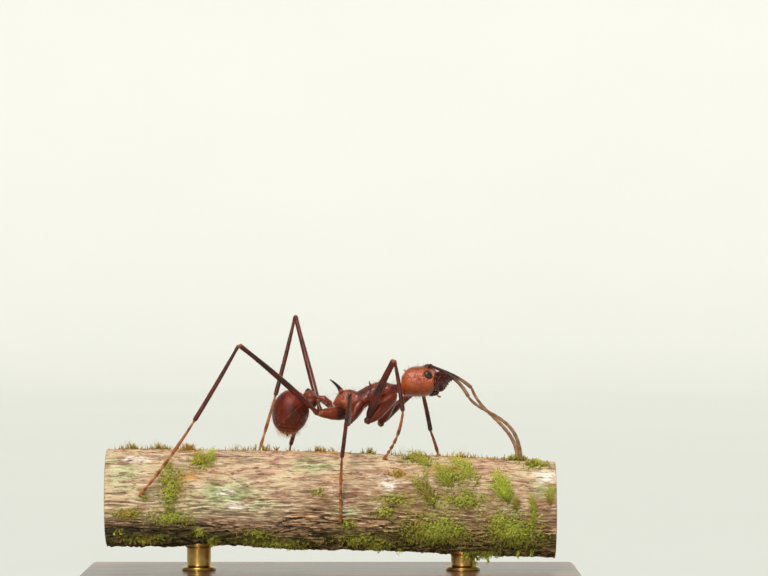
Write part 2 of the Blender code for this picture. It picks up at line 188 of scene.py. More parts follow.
def girth(nodes, place, axis=0, keep=lambda p: True):
    """Where solids are crossed by a plane: (low, high, half width), in millimetres."""
    across = 2 if axis == 0 else 0
    found = []
    for node in nodes:
        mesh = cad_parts[node].data
        points = [v.co / MM for v in mesh.vertices]
        for edge in mesh.edges:
            a, b = (points[i] for i in edge.vertices)
            if (a[axis] - place) * (b[axis] - place) < 0:
                point = a.lerp(b, (place - a[axis]) / (b[axis] - a[axis]))
                if keep(point):
                    found.append(point)
    spread = [p[across] for p in found]
    return min(spread), max(spread), max(abs(p.y) for p in found)


def limb_end(node, inner, radius=0.25):
    """The middle of a limb's rounded outer end, seen from a point at its inner end."""
    points = corners(node)
    away = np.linalg.norm(points - np.array(inner), axis=1)
    tip = points[away > away.max() - 0.04].mean(0)
    outward = tip - points.mean(0)
    last_ring = math.sin(math.radians(68))  # how far along its radius the solid's round end reaches
    return Vector(tip - outward / np.linalg.norm(outward) * radius * last_ring)


def end_middle(node, point, which):
    """The middle of the vertices at one end of a solid: which is a slice of them by distance from a point."""
    points = corners(node)
    order = np.linalg.norm(points - np.array(point), axis=1).argsort()
    return Vector(points[order[which]].mean(0))


def middle_line(node, start, end, shift, count, degree, late):
    """A smooth curve through the middle of a bent limb, from start to end. The shift moves its far end,
    and the higher late is, the later along the curve it comes in."""
    points = corners(node)
    chord = np.array(end - start)
    share = np.r_[(points - np.array(start)) @ chord / (chord @ chord), 0.0, 1.0]
    points = np.r_[points, [start], [end]]
    weight = np.r_[np.ones(len(share) - 2), 60.0, 60.0]  # the two ends are held
    fits = [np.polyfit(share, points[:, k], degree, w=weight) for k in range(3)]
    steps = np.linspace(0, 1, count)
    line = [Vector(p) for p in np.stack([np.polyval(f, steps) for f in fits], 1)]
    return [p + shift * (i / (count - 1)) ** late for i, p in enumerate(line)]


print("the head is", round(box_mm("head")[1].x - box_mm("head")[0].x, 2), "mm long")

# %% [markdown]
# ## Drawing out, bending and sculpting
# Almost every part of an ant is a tube of hard shell that swells and narrows: head, waist, thigh or foot.
# It can be made by hand from one ring of vertices. The ring is extruded step by step along X, and resized
# after each step. Subdivision then rounds it. Straight limbs are turned into place, and bent ones are laid
# along their middle line. Small hollows and swellings are pushed in and out afterwards, as a sculptor does
# with a soft brush.

# %% Draw out, bend, lay and sculpt
def draw_out(name, stations, sides=12, rounds=1, axis="X"):
    """Extrudes a ring from station to station. A station is (place, low, high, half width)."""
    place, low, high, half_width = stations[0]
    piece = begin(name, "circle", vertices=sides, radius=1.0, fill_type="NGON")
    along_x = axis == "X"

    def spot(place, across):
        return (place, 0, across) if along_x else (across, 0, place)

    def resize(tall, wide, centre):
        value = (1, wide, tall) if along_x else (tall, wide, 1)
        bpy.ops.transform.resize(value=value, center_override=centre)

    with edit_mode():
        if along_x:
            bpy.ops.transform.rotate(value=-math.pi / 2, orient_axis="Y", center_override=(0, 0, 0))
        middle = (low + high) / 2
        resize((high - low) / 2, half_width, (0, 0, 0))
        bpy.ops.transform.translate(value=spot(place, middle))
        for next_place, next_low, next_high, next_width in stations[1:]:
            next_middle = (next_low + next_high) / 2
            extrude(*spot(next_place - place, next_middle - middle))
            taller, wider = (next_high - next_low) / (high - low), next_width / half_width
            resize(taller, wider, spot(next_place, next_middle))
            place, low, high, half_width, middle = next_place, next_low, next_high, next_width, next_middle
        face_outward()
    fix_order(piece)
    if rounds:
        apply_modifier(piece, "SUBSURF", levels=rounds, render_levels=rounds)
    return piece


def tube(name, length, profile, sides=12, rounds=1, bow=0.0):
    """A limb along X. The profile gives its radius at shares of its length; bow lifts its middle."""
    stations = []
    for share, radius in profile:
        lift = 4 * bow * share * (1 - share)
        stations.append((share * length, lift - radius, lift + radius, radius))
    return draw_out(name, stations, sides, rounds)


def scaled(profile, radius):
    """A profile whose radii are shares of one radius."""
    return [(share, radius * part) for share, part in profile]


def lay(piece, start, end, up=(0, 0, 1)):
    """Turns a piece that was drawn out along X so that it runs from start towards end."""
    forward = (Vector(end) - Vector(start)).normalized()
    side = Vector(up).cross(forward).normalized()
    turn = Matrix((forward, side, forward.cross(side))).transposed().to_4x4()
    piece.data.transform(Matrix.Translation(Vector(start)) @ turn)
    return piece


def bend(piece, line, up=(0, 0, 1)):
    """Lays a piece that was drawn out along X on a curve through the points of line."""
    line = np.array(line, float)
    travelled = np.r_[0, np.cumsum(np.linalg.norm(np.diff(line, axis=0), axis=1))]
    slopes = np.gradient(line, travelled, axis=0)
    slopes /= np.linalg.norm(slopes, axis=1)[:, None]
    flat, _ = read_mesh(piece)
    held = np.clip(flat[:, 0], 0, travelled[-1])
    spot = np.stack([np.interp(held, travelled, line[:, k]) for k in range(3)], 1)
    ahead = np.stack([np.interp(held, travelled, slopes[:, k]) for k in range(3)], 1)
    ahead /= np.linalg.norm(ahead, axis=1)[:, None]
    side = np.cross(np.array(up, float), ahead)
    side /= np.linalg.norm(side, axis=1)[:, None]
    rise = np.cross(ahead, side)
    extra = flat[:, :1] - held[:, None]
    write_mesh(piece, spot + ahead * extra + side * flat[:, 1:2] + rise * flat[:, 2:3])
    return piece


def line_length(line):
    return sum((Vector(b) - Vector(a)).length for a, b in zip(line, line[1:]))


def read_mesh(piece):
    """Places and outward directions of a piece's vertices."""
    count = len(piece.data.vertices)
    places, directions = np.empty(count * 3), np.empty(count * 3)
    piece.data.vertices.foreach_get("co", places)
    piece.data.vertices.foreach_get("normal", directions)
    return places.reshape(-1, 3), directions.reshape(-1, 3)


def write_mesh(piece, places):
    piece.data.vertices.foreach_set("co", np.ascontiguousarray(places).ravel())
    piece.data.update()


def sculpt(piece, strokes, mirrored=True):
    """Pushes soft spots of the surface out, or in where the height is negative.
    A stroke is (place, reach, height), and its reach may differ along X, Y and Z."""
    places, directions = read_mesh(piece)
    at = places.copy()
    if mirrored:
        at[:, 1] = abs(at[:, 1])
    push = np.zeros(len(at))
    for place, reach, height in strokes:
        push += height * np.exp(-(((at - np.array(place)) / np.array(reach)) ** 2).sum(1))
    write_mesh(piece, places + directions * push[:, None])


def roughen(piece, scale, depth, dim=0.7):
    """Pushes the surface in and out by fine noise; each finer layer of it is weaker where dim is high."""
    places, directions = read_mesh(piece)
    rough = np.array([noise.fractal(p * scale, dim, 2.0, 3) for p in map(Vector, places)])
    write_mesh(piece, places + directions * (depth * rough)[:, None])


def paint(piece, name, values):
    """Stores a value from 0 to 1 on each vertex, for the finish to read."""
    painted = piece.data.attributes.get(name) or piece.data.attributes.new(name, "FLOAT", "POINT")
    painted.data.foreach_set("value", np.clip(values, 0, 1).astype(np.float32))


def step_plate(piece, point, direction, height, width, fade):
    """A plate's free edge: the surface swells towards a plane, then drops sharply beyond it."""
    places, directions = read_mesh(piece)
    beyond = (places - np.array(point)) @ np.array(Vector(direction).normalized())
    push = np.where(beyond < 0, height * np.exp(beyond / fade), 0.0)
    push *= np.clip(1 - (beyond + width) / width, 0, 1)
    write_mesh(piece, places + directions * push[:, None])


# %% [markdown]
# ## Finishes
# A finish is a small web of shader nodes. Writing it as sums keeps it readable, so one class wraps a socket
# and turns + - * / into Math nodes, and another makes any node from its type, settings and inputs. All
# patterns read the Object coordinates, scaled so that one unit is a millimetre.

# %% The classes that write shader maths
class Signal:
    """One output socket. Sums written with it become Math nodes."""

    def __init__(self, finish, socket):
        self.finish, self.socket = finish, socket

    def maths(self, operation, *values):
        return self.finish.add("ShaderNodeMath", {"operation": operation}, dict(enumerate(values)))

    def __add__(self, other):
        return self.maths("ADD", self, other)

    def __sub__(self, other):
        return self.maths("SUBTRACT", self, other)

    def __rsub__(self, other):
        return self.maths("SUBTRACT", other, self)

    def __mul__(self, other):
        return self.maths("MULTIPLY", self, other)

    def __pow__(self, other):
        return self.maths("POWER", self, other)

    def fade(self, start, end):
        """0 before start and 1 after end, with a soft change between."""
        return self.finish.add("ShaderNodeMapRange", {"interpolation_type": "SMOOTHSTEP"}, {
            "Value": self, "From Min": start, "From Max": end})

    __radd__, __rmul__ = __add__, __mul__


class Finish:
    """A material whose nodes are added one call at a time."""

    def __init__(self, name, colour, roughness, metallic=0.0, **shader_values):
        self.material = bpy.data.materials.new(name)
        self.material.use_nodes = True
        self.tree = self.material.node_tree
        self.shader = self.tree.nodes["Principled BSDF"]
        self.mm = self.add(
            "ShaderNodeVectorMath", {"operation": "SCALE"},
            {0: self.add("ShaderNodeTexCoord", {}, {}, "Object"), "Scale": 1 / MM},
        )
        self.wear(**{"Base Color": (*colour, 1.0), "Roughness": roughness, "Metallic": metallic})
        self.wear(**shader_values)
        self.material.diffuse_color = (*colour, 1.0)

    def plug(self, socket, value):
        if isinstance(value, Signal):
            self.tree.links.new(value.socket, socket)
        elif hasattr(socket.default_value, "__len__") and len(socket.default_value) == 4:
            socket.default_value = (*value[:3], 1.0)
        else:
            socket.default_value = value

    def add(self, kind, settings, inputs, output=0):
        node = self.tree.nodes.new(kind)
        for key, value in settings.items():
            setattr(node, key, value)
        for key, value in inputs.items():
            self.plug(node.inputs[key], value)
        return Signal(self, node.outputs[output])

    def wear(self, **values):
        for key, value in values.items():
            self.plug(self.shader.inputs[key], value)

    def noise(self, scale, detail=3.0, stretch=(1, 1, 1), roughness=0.55, distortion=0.0):
        """Cloudy noise, `scale` blobs to a millimetre, stretched along an axis by a small factor."""
        spot = self.add("ShaderNodeMapping", {}, {"Vector": self.mm, "Scale": stretch})
        return self.add("ShaderNodeTexNoise", {}, {
            "Vector": spot, "Scale": scale, "Detail": detail,
            "Roughness": roughness, "Distortion": distortion})

    def cells(self, scale):
        """The distance from the middle of each of a crowd of cells, `scale` of them to a millimetre."""
        return self.add("ShaderNodeTexVoronoi", {}, {"Vector": self.mm, "Scale": scale}, "Distance")

    def along(self, axis):
        return self.add("ShaderNodeSeparateXYZ", {}, {0: self.mm}, axis)

    def painted(self, name):
        """A value stored on the piece's own vertices."""
        return self.add("ShaderNodeAttribute", {"attribute_name": name}, {}, "Fac")

    def mix(self, share, one, other):
        return self.add("ShaderNodeMix", {"data_type": "RGBA"}, {0: share, 6: one, 7: other}, 2)

    def over(self, base, *layers):
        """Lays colours over a base one by one. A layer is how much of it shows, and its screen colour."""
        for share, *colour in layers:
            base = self.mix(share, base, tint(*colour))
        return base

    def bump(self, height, depth, strength=1.0):
        """Relief from a value; depth is in millimetres."""
        self.wear(Normal=self.add("ShaderNodeBump", {}, {
            "Height": height, "Distance": depth * MM, "Strength": strength}))

    def done(self, colour, **values):
        """The finished material, once it wears its colour."""
        self.wear(**{"Base Color": colour}, **values)
        return self.material


def tint(red, green, blue):
    """A colour as it is seen on a screen, 0 to 255, as the linear values a shader needs."""
    return tuple(((c / 255 + 0.055) / 1.055) ** 2.4 if c > 10 else c / 3294.6 for c in (red, green, blue))


# %% [markdown]
# ## The twig's bark
# The perch is a cut length of an old twig. Its upper side is pale, finely fibred bark with crusts of lichen.
# Its underside stays damp and lifts in overlapping flakes, and there the bark is painted dark, partly as the
# damp bark's own colour and partly as painted shade. A flat grid wraps well into such a tube: its rows run
# along the fibres, and its own UV map unrolls the bark again. Each vertex is then pushed in or out by
# several layers of noise, one for each thing that real bark does.

# %% Measure the twig and wrap a grid round it
ENDS = [corner.x for corner in box_mm("perch_twig")]
FULL = 0.975  # the share of the grid's half length that is bark; the rest turns in over the cut end
samples = np.linspace(ENDS[0] * 0.9, ENDS[1] * 0.9, 9) + 0.13
clear = lambda p: abs(p.y) > 0.9 or p.z > 6.0  # the rods' sockets are left out of the measure
slices = [girth(["perch_twig"], x, keep=clear) for x in samples]
tops = np.polyfit(samples, [s[1] for s in slices], 2)
BARK = float(np.mean([s[2] for s in slices]))
print("the bark's radius is", round(BARK, 2), "mm")


def axis_height(x):
    """How high the middle of the twig stands over the table at x."""
    return np.polyval(tops, x) - BARK


def on_bark(x, degrees, out=0.0):
    """A point over the bark, turned by an angle from the top towards the ant's right side."""
    a = math.radians(degrees)
    reach = BARK + out
    return Vector((x, -reach * math.sin(a), float(axis_height(x)) + reach * math.cos(a)))


bark = begin("twig_bark", "grid", x_subdivisions=218, y_subdivisions=440, size=2.0)
flat, _ = read_mesh(bark)
bark_x = np.clip(flat[:, 0] / FULL, -1, 1) * ENDS[1]
bark_angle = flat[:, 1] * math.pi
turned_in = np.clip((abs(flat[:, 0]) - FULL) / (1 - FULL), 0, 1)

# %% [markdown]
# Where things grow is part of the twig's likeness: moss lies in tufts along the crest, beside the hind
# foot and low on the front half, and grey lichen crusts spread over the rear half. A patch is a place along
# the twig, an angle from the top, and its two half sizes. The same patches shape the relief, tint the bark
# and say where the moss shoots stand.

# %% Patches of moss and lichen
MOSS = [  # along the twig, angle, half length, half width in degrees, how thick it grows, rusty to green
    (-7.9, 78, 0.78, 40, 0.95, 0.45), (-7.9, 112, 1.5, 12, 0.8, 0.45), (-6.45, 36, 0.66, 20, 1.1, 0.75),
    (-7.1, 4, 0.7, 10, 1.2, 0.0), (-10.0, 4, 1.0, 8, 0.6, 0.1), (-8.6, 4, 0.9, 8, 0.8, 0.15),
    (-4.7, 4, 0.6, 6, 0.5, 0.2), (-10.0, 107, 1.3, 9, 0.8, 0.2), (5.3, 121, 2.1, 25, 1.75, 0.5),
    (9.0, 118, 1.7, 28, 1.75, 0.5), (8.4, 104, 0.7, 12, 1.0, 0.6), (4.15, 18, 0.8, 14, 0.8, 0.3),
    (3.3, 51, 0.6, 7, 0.6, 0.05), (2.7, 100, 0.8, 8, 0.8, 0.5), (6.2, 52, 1.0, 14, 0.35, 0.5),
    (10.2, 22, 0.9, 14, 0.9, 0.4), (-5.85, 150, 0.4, 12, 1.0, 0.6), (-6.5, 133, 0.4, 10, 1.0, 0.6),
    (-3.6, 134, 1.2, 10, 0.4, 0.4), (0.85, 116, 0.5, 7, 0.5, 0.5), (2.4, 150, 1.1, 16, 0.8, 0.45),
    (7.6, 164, 1.4, 14, 0.8, 0.5), (-0.6, 4, 1.6, 6, 0.35, 0.1), (1.9, 3, 0.6, 7, 0.8, 0.15),
    (6.6, 6, 1.6, 6, 0.4, 0.1), (-9.2, 86, 0.5, 8, 0.3, 0.5), (-0.6, 78, 0.5, 7, 0.25, 0.4),
    (-5.5, -60, 2.0, 26, 0.7, 0.45), (2.0, -96, 2.6, 24, 0.8, 0.5), (7.0, -50, 1.8, 22, 0.7, 0.6),
    (-1.5, -140, 2.2, 20, 0.6, 0.4), (-3.4, 3, 2.2, 4, 0.5, 0.05), (4.2, 4, 2.0, 5, 0.55, 0.15),
    (9.4, 8, 1.4, 8, 0.7, 0.3), (-9.2, 146, 1.8, 10, 0.5, 0.45), (-2.6, 152, 2.6, 12, 0.5, 0.5),
    (1.4, 138, 1.6, 12, 0.6, 0.45), (6.6, 82, 2.4, 16, 0.35, 0.45), (3.2, 84, 1.2, 10, 0.3, 0.35),
]
RUSTY = [patch for patch in MOSS if patch[5] < 0.15]
RUSTY += [(-7.0, 62, 0.5, 9), (0.6, 60, 0.7, 6), (5.2, 40, 1.2, 9)]
LICHEN = [
    (-5.15, 82, 1.9, 28), (-10.3, 60, 1.2, 30), (-3.6, 96, 0.9, 9), (10.4, 62, 0.9, 14), (-1.0, 40, 1.0, 14),
    (-7.2, -30, 1.8, 24), (4.5, -40, 1.6, 20), (-8.6, 116, 0.7, 9), (0.8, 102, 0.9, 7), (8.9, 90, 0.7, 7),
]
CHALK = [(2.9, 66, 0.5, 10), (10.7, 45, 0.6, 11), (-5.2, 80, 0.45, 4), (-4.6, 97, 0.5, 5), (-9.6, 34, 0.7, 6)]


def patch_cover(patches, ragged):
    """How far each place on the bark lies inside a patch, from 0 to 1, with a ragged edge."""
    cover = np.zeros(len(bark_x))
    for middle, degrees, half_x, half_angle, *_ in patches:
        turn = (np.degrees(bark_angle) - degrees + 180) % 360 - 180
        inside = 1.25 - np.sqrt(((bark_x - middle) / half_x) ** 2 + (turn / half_angle) ** 2)
        cover = np.maximum(cover, np.clip(inside + ragged, 0, 1))
    return cover


def layer(along, around, kind, *settings, x=bark_x, angle=bark_angle):
    """One layer of noise over the bark, stretched along the fibres by a small `along`."""
    turned = np.stack([x * along, np.cos(angle) * around, np.sin(angle) * around], 1).tolist()
    return np.array([kind(p, *settings) for p in turned])


# %% Relief of the bark
wander = layer(0.25, 1.6, noise.noise)
lumps = layer(0.22, 0.9, noise.noise, x=bark_x + 40)
crossing = bark_angle + 0.10 * wander + 0.03 * layer(0.9, 4, noise.noise)
cords = layer(0.62, 14.0, noise.ridged_multi_fractal, 0.9, 2.1, 4, 1.0, 1.8, angle=crossing)
cords = (cords - cords.mean()) / cords.std()
fibres = layer(1.3, 34.0, noise.fractal, 0.7, 2.0, 3, angle=crossing)
grain = layer(6.0, 26.0, noise.fractal, 0.6, 2.0, 2)
off_top = np.degrees(abs(bark_angle))
under = np.clip((off_top - 97 + 28 * wander) / 46, 0, 1)  # 1 on the flaky underside
# Darker brown down the sides of the twig's front part: partly browner bark, partly painted shade.
aged = np.clip((bark_x + 4 + 3 * lumps) / 5, 0, 1) * np.clip((off_top - 42 + 20 * wander) / 45, 0, 1)
flakes = layer(0.26, 3.4, noise.fractal, 1.0, 2.0, 3, x=bark_x + 7, angle=crossing + 0.2 * lumps)
flakes = (flakes * 2.7) % 1.0  # a saw tooth: each flake rises slowly and ends in a sharp lip
lichen = patch_cover(LICHEN, 0.5 * lumps + 0.4 * grain)
chalk = patch_cover(CHALK, 0.6 * lumps + 0.9 * grain)
rusty = patch_cover(RUSTY, 0.5 * wander + 0.4 * grain)
mossy = patch_cover(MOSS, 0.5 * wander + 0.3 * grain)
crust = layer(5.0, 13.0, noise.noise)
relief = (
    0.10 * lumps * (1 + under)
    + 0.024 * np.clip(cords, -2.0, 2.4) * (1 + 0.9 * under)
    + 0.020 * fibres * (1 - 0.5 * lichen)
    + 0.010 * grain
    + under * 0.14 * (flakes - 0.55)
    + 0.05 * np.maximum(lichen, chalk) * (0.6 + 0.8 * crust)
    + 0.03 * mossy
)
reach = BARK - 0.03 + relief - 0.42 * turned_in ** 1.3
height = axis_height(bark_x) + reach * np.cos(bark_angle)
write_mesh(bark, np.stack([bark_x, -reach * np.sin(bark_angle), height], 1))
for name, values in {
    "cords": 0.5 + cords / 5, "under": under, "flakes": flakes, "lichen": lichen, "mossy": mossy,
    "aged": aged, "chalk": chalk, "rusty": rusty, "rim": turned_in * 4,
}.items():
    paint(bark, name, values)
choose(bark)
with edit_mode():  # close the seam where the grid's two long edges meet
    bpy.ops.mesh.select_all(action="SELECT")
    bpy.ops.mesh.remove_doubles(threshold=0.0005)
    face_outward()
print("relief runs from", round(float(relief.min()), 2), "to", round(float(relief.max()), 2), "mm")

# %% [markdown]
# Bark gets its colour from its own relief: the ridges are bleached, the furrows hold dirt, lichen is grey
# green and moss leaves a green film under its shoots. The underside, the cracks under its flakes and the
# sides of the front part are darker, partly as painted shade. So the layers of relief were stored on the
# vertices, and the finish mixes its colours by them. Finer specks come from noise.

# %% Finish of the bark
finish = Finish("bark", tint(190, 162, 120), 0.86)
cord, flake, damp_and_shade = finish.painted("cords"), finish.painted("flakes"), finish.painted("under")
aged, lichen, chalk = finish.painted("aged"), finish.painted("lichen"), finish.painted("chalk")
rusty, mossy, rim = finish.painted("rusty"), finish.painted("mossy"), finish.painted("rim")
blotch = finish.noise(0.55, 3, (0.5, 1, 1)).fade(0.42, 0.58)
patchy = finish.noise(2.8, 4, (0.34, 1, 1))
streak = finish.noise(7.0, 4, (0.16, 1, 1))
thread = finish.noise(15.0, 3, (0.12, 1, 1))
fine = finish.noise(26.0, 3, (0.5, 1, 1))
crusts = finish.noise(2.2, 4, (0.6, 1, 1)).fade(0.42, 0.60)
pale = finish.mix(blotch, tint(212, 188, 150), tint(202, 162, 132))
# painted shade, partly browner bark: darker brown down the sides of the front part
pale = finish.over(pale, (aged * patchy.fade(0.2, 0.55) * 0.95, 134, 102, 64))
pale = finish.mix(lichen * 0.95, pale, finish.mix(crusts, tint(150, 176, 112), tint(204, 208, 162)))
pale = finish.over(
    pale,
    (patchy.fade(0.54, 0.64) * 0.75, 160, 104, 92),
    (patchy.fade(0.42, 0.30) * 0.6, 224, 208, 178),
    (rusty * patchy.fade(0.35, 0.55) * 0.8, 206, 152, 66),
    (streak.fade(0.45, 0.33) * 0.65, 126, 86, 68),
    (streak.fade(0.55, 0.67) * 0.55, 232, 212, 180),
    (thread.fade(0.46, 0.35) * 0.85, 96, 64, 46),
    (thread.fade(0.55, 0.67) * 0.5, 242, 226, 196),
    (cord.fade(0.40, 0.20) * 0.5, 96, 68, 48),
    (chalk * streak.fade(0.34, 0.46), 250, 240, 230),
)
ridge = finish.mix((thread + 0.4 * streak).fade(0.60, 0.82), tint(128, 92, 62), tint(226, 186, 144))
# Near-black in the cracks under each flake's lip is painted shade, and the paler lips are partly bleached
# bark, partly painted highlight.
dark = finish.mix(flake.fade(0.08, 0.56), tint(46, 32, 18), ridge)
deep = finish.mix(thread.fade(0.42, 0.62), tint(42, 36, 17), tint(124, 106, 56))
deep = finish.over(deep, (flake.fade(0.66, 0.94) * 0.85, 190, 160, 104), (flake.fade(0.24, 0.05), 14, 12, 7))
# The underside is darker, and darker still further round it and towards the rear end: partly damp bark,
# partly painted shade.
dark = finish.mix((damp_and_shade + 0.5 * (patchy - 0.5)).fade(0.45, 0.95), dark, deep)
skin = finish.mix(damp_and_shade.fade(0.02, 0.42), pale, dark)
skin = finish.over(skin, (damp_and_shade * finish.along("X").fade(-4.0, -7.0) * 0.5, 26, 22, 8))
green = finish.mix(finish.noise(6.0, 3).fade(0.4, 0.6), tint(92, 88, 28), tint(158, 150, 58))
green = finish.over(green, (rusty * 0.8, 196, 140, 60))
skin = finish.mix(mossy * finish.noise(3.0, 3).fade(0.30, 0.55) * 0.8, skin, green)
skin = finish.over(
    skin,
    (fine.fade(0.62, 0.74) * 0.4, 240, 224, 190),
    (fine.fade(0.39, 0.28) * 0.5, 64, 44, 30),
)
skin = finish.mix(rim, skin, finish.mix(fine, tint(84, 56, 36), tint(150, 112, 76)))
finish.bump(fine + 0.8 * streak + 0.8 * thread, 0.05, 0.8)
BARK_FINISH = finish.done(skin, Roughness=0.78 + 0.2 * fine)

# %% [markdown]
# The two cut ends show wood: pale rings round a small pith, with fine rays. Each end is a disc of rings,
# made by insetting one round face again and again. Alternate rings are sunk a little, as summer wood is,
# and the whole face is tilted a trace, as a saw leaves it.

# %% The cut ends of the twig
def cut_end(name, x, facing):
    disc = begin(name, "circle", vertices=96, radius=BARK - 0.20, fill_type="NGON")
    with edit_mode():
        bpy.ops.transform.rotate(value=-facing * math.pi / 2, orient_axis="Y", center_override=(0, 0, 0))
        bpy.ops.transform.translate(value=(x - 0.16 * facing, 0, float(axis_height(x))))
        extrude(0.12 * facing, 0, 0)
        for ring in range(22):
            bpy.ops.mesh.inset(thickness=0.1, depth=0.018 if ring % 2 else -0.018)
        bpy.ops.mesh.merge(type="CENTER")
        face_outward()
    fix_order(disc)
    places, _ = read_mesh(disc)
    rough = np.array([noise.noise((0.0, p[1] * 2.5, p[2] * 2.5)) for p in places])
    places[:, 0] += facing * 0.03 * rough
    write_mesh(disc, places)
    return disc


finish = Finish("cut_wood", tint(206, 176, 130), 0.7)
y, z = finish.along("Y"), finish.along("Z") - float(axis_height(0))
out = (y * y + z * z) ** 0.5 + 0.10 * finish.noise(1.2, 2)
wave = out * 26
rings = wave.maths("SINE", wave).fade(-0.2, 0.9)
wood = finish.over(
    finish.mix(rings, tint(222, 192, 146), tint(176, 136, 90)),
    (out.fade(0.26, 0.18), 110, 74, 46),
    (out.fade(2.05, 2.3), 92, 66, 44),
    (finish.noise(18, 3).fade(0.5, 0.7) * 0.4, 140, 104, 70),
)
finish.bump(rings + finish.noise(30, 2), 0.02, 0.5)
WOOD_FINISH = finish.done(wood, Roughness=0.62 + 0.25 * rings)

settle(bark, BARK_FINISH, "perch_twig", slot="bark", angle=80)
cut_ends = [cut_end("twig_wood", ENDS[0], -1), cut_end("front_cut", ENDS[1], 1)]
settle(join(cut_ends), WOOD_FINISH, "perch_twig", slot="bark", angle=60)


# %% [markdown]
# ## The ant's shell
# A leafcutter's shell is smooth, thin-walled and slightly see-through at the surface, like lacquered horn.
# Its colour goes from orange on the head to dark mahogany on the legs. One function gives every plate this
# look, with its own colours: broad clouds of darker pigment, the fine leathery grain of the real cuticle,
# and a clear coat for the moist shine.

# %% Finishes of the shell
def shell(name, light, dark, roughness, coat, grain, cloud=1.6, gloss=0.4, rugose=1.0, grit=13.0):
    """A shell's finish and its first colour. Rugose says how deep the granules are, and grit how many."""
    made = Finish(name, tint(*light), roughness, **{
        "Coat Weight": coat, "Coat Roughness": 0.14, "Subsurface Weight": 0.12, "Subsurface Scale": 0.00012,
        "Subsurface Radius": (1.0, 0.35, 0.15), "Specular IOR Level": gloss})
    clouds, pits, granules = made.noise(cloud, 4), made.cells(grain), made.cells(grit)
    made.wear(Roughness=roughness - 0.06 + 0.14 * clouds + 0.10 * pits)
    made.bump(0.5 * pits + 0.4 * made.noise(grain / 2, 3) - rugose * granules, 0.012, 0.7)
    colour = made.mix(clouds.fade(0.36, 0.66), tint(*light), tint(*dark))
    return made, made.over(
        colour,
        (made.noise(grain / 3, 3).fade(0.56, 0.72) * 0.35, *dark),
        (granules.fade(0.55, 0.2) * 0.12 * rugose, *dark),
    )


finish, colour = shell("head_shell", (184, 82, 4), (148, 54, 2), 0.24, 0.2, 70.0, gloss=0.5, rugose=2.2)
X, Z, wander = finish.along("X"), finish.along("Z"), 0.2 * (finish.noise(2.6, 3) - 0.5)
# The band across the upper middle of the head's sides where a pinkish granular highlight is painted.
painted_highlight_zone = (Z + wander).fade(11.84, 12.02) * (Z + wander).fade(12.52, 12.30) * X.fade(3.6, 3.9)
granules = finish.cells(12.0)
lobes = (Z + 0.55 * X + wander).fade(15.18, 15.33) * X.fade(4.52, 4.74) * X.fade(5.14, 5.0)
mouth = (X - Z + wander).fade(-6.60, -6.42) * X.fade(4.78, 4.98)
plate_edge = (X + 0.5 * wander).fade(5.22, 5.36)
HEAD_SHELL = finish.done(finish.over(
    colour,
    (Z.fade(12.40, 12.75) * 0.8, 96, 34, 6),
    # painted shade: darker towards the bottom of the head
    ((Z + 0.6 * wander).fade(11.88, 11.60) * 0.6, 112, 36, 0),
    # painted highlight: a pinkish granular patch, with darker orange between the granules
    (painted_highlight_zone * 0.35, 206, 112, 92),
    (painted_highlight_zone * granules.fade(0.46, 0.20) * 0.7, 232, 156, 128),
    (painted_highlight_zone * granules.fade(0.46, 0.62) * 0.6, 120, 36, 6),
    (lobes * 0.88, 58, 13, 9),
    (mouth * 0.88, 58, 13, 9),
    (plate_edge * 0.88, 58, 13, 9),
    (finish.painted("thorn") * 0.5, 92, 28, 12),
))

finish, colour = shell("trunk_shell", (140, 52, 26), (70, 18, 8), 0.27, 0.2, 60.0, rugose=2.2)
TRUNK_SHELL = finish.done(finish.over(
    colour,
    (finish.along("X").fade(1.5, 0.7) * 0.5, 178, 92, 54),
    (finish.along("X").fade(0.14, -0.10) * 0.8, 108, 36, 18),
    (finish.painted("shade") * 0.8, 50, 22, 18),
    (finish.painted("thorn"), 20, 8, 7),
    (finish.painted("hollow") * 0.7, 58, 20, 14),
))

finish, colour = shell("gaster_shell", (124, 34, 4), (76, 17, 2), 0.30, 0.0, 52.0, 1.1, 0.3, 0.4)
GASTER_SHELL = finish.done(finish.over(
    colour,
    (finish.painted("belly") * 0.75, 72, 20, 4),
    # painted shade: darker towards the gaster's rear end
    (finish.along("X").fade(-2.2, -2.9) * 0.6, 60, 15, 2),
    (finish.along("Z").fade(9.9, 9.35) * 0.5, 110, 44, 10),
    (finish.painted("seam") * 0.55, 150, 78, 34),
))

finish, colour = shell("leg_shell", (94, 24, 5), (44, 9, 3), 0.26, 0.15, 44.0, 1.4, 0.35, 0.8)
warm, joint, shade = finish.painted("warm"), finish.painted("joint"), finish.painted("shade")
# joint: paler ends of thighs and shins, partly their own colour, partly painted highlight
LEG_SHELL = finish.done(finish.over(
    colour, (warm, 136, 48, 14), (joint, 160, 98, 54), (shade * 0.9, 26, 9, 7)))

finish, colour = shell("foot_shell", (172, 102, 56), (116, 56, 26), 0.42, 0.1, 50.0, 3.0, 0.3)
FOOT_SHELL = finish.done(finish.over(colour, (finish.painted("joint") * 0.7, 190, 140, 92)))

finish, colour = shell("feeler_shell", (146, 110, 78), (108, 76, 52), 0.44, 0.08, 50.0, 2.4, 0.3)
FEELER_SHELL = finish.done(finish.over(
    colour, (finish.painted("joint") * 0.3, 176, 138, 100), (finish.painted("base"), 52, 20, 14)))

finish, colour = shell("jaw_shell", (70, 9, 12), (20, 3, 4), 0.2, 0.15, 30.0, 3.0, 0.4, 2.0, 8.0)
# painted highlight: pinkish glints in round spots, on the jaws and the lower lip
JAW_SHELL = finish.done(finish.over(colour, (finish.cells(7.0).fade(0.34, 0.16) * 0.55, 134, 70, 78)))

finish, colour = shell("joint_skin", (150, 96, 62), (100, 56, 34), 0.5, 0.1, 30.0, 4.0)
JOINT_SKIN = finish.done(colour)

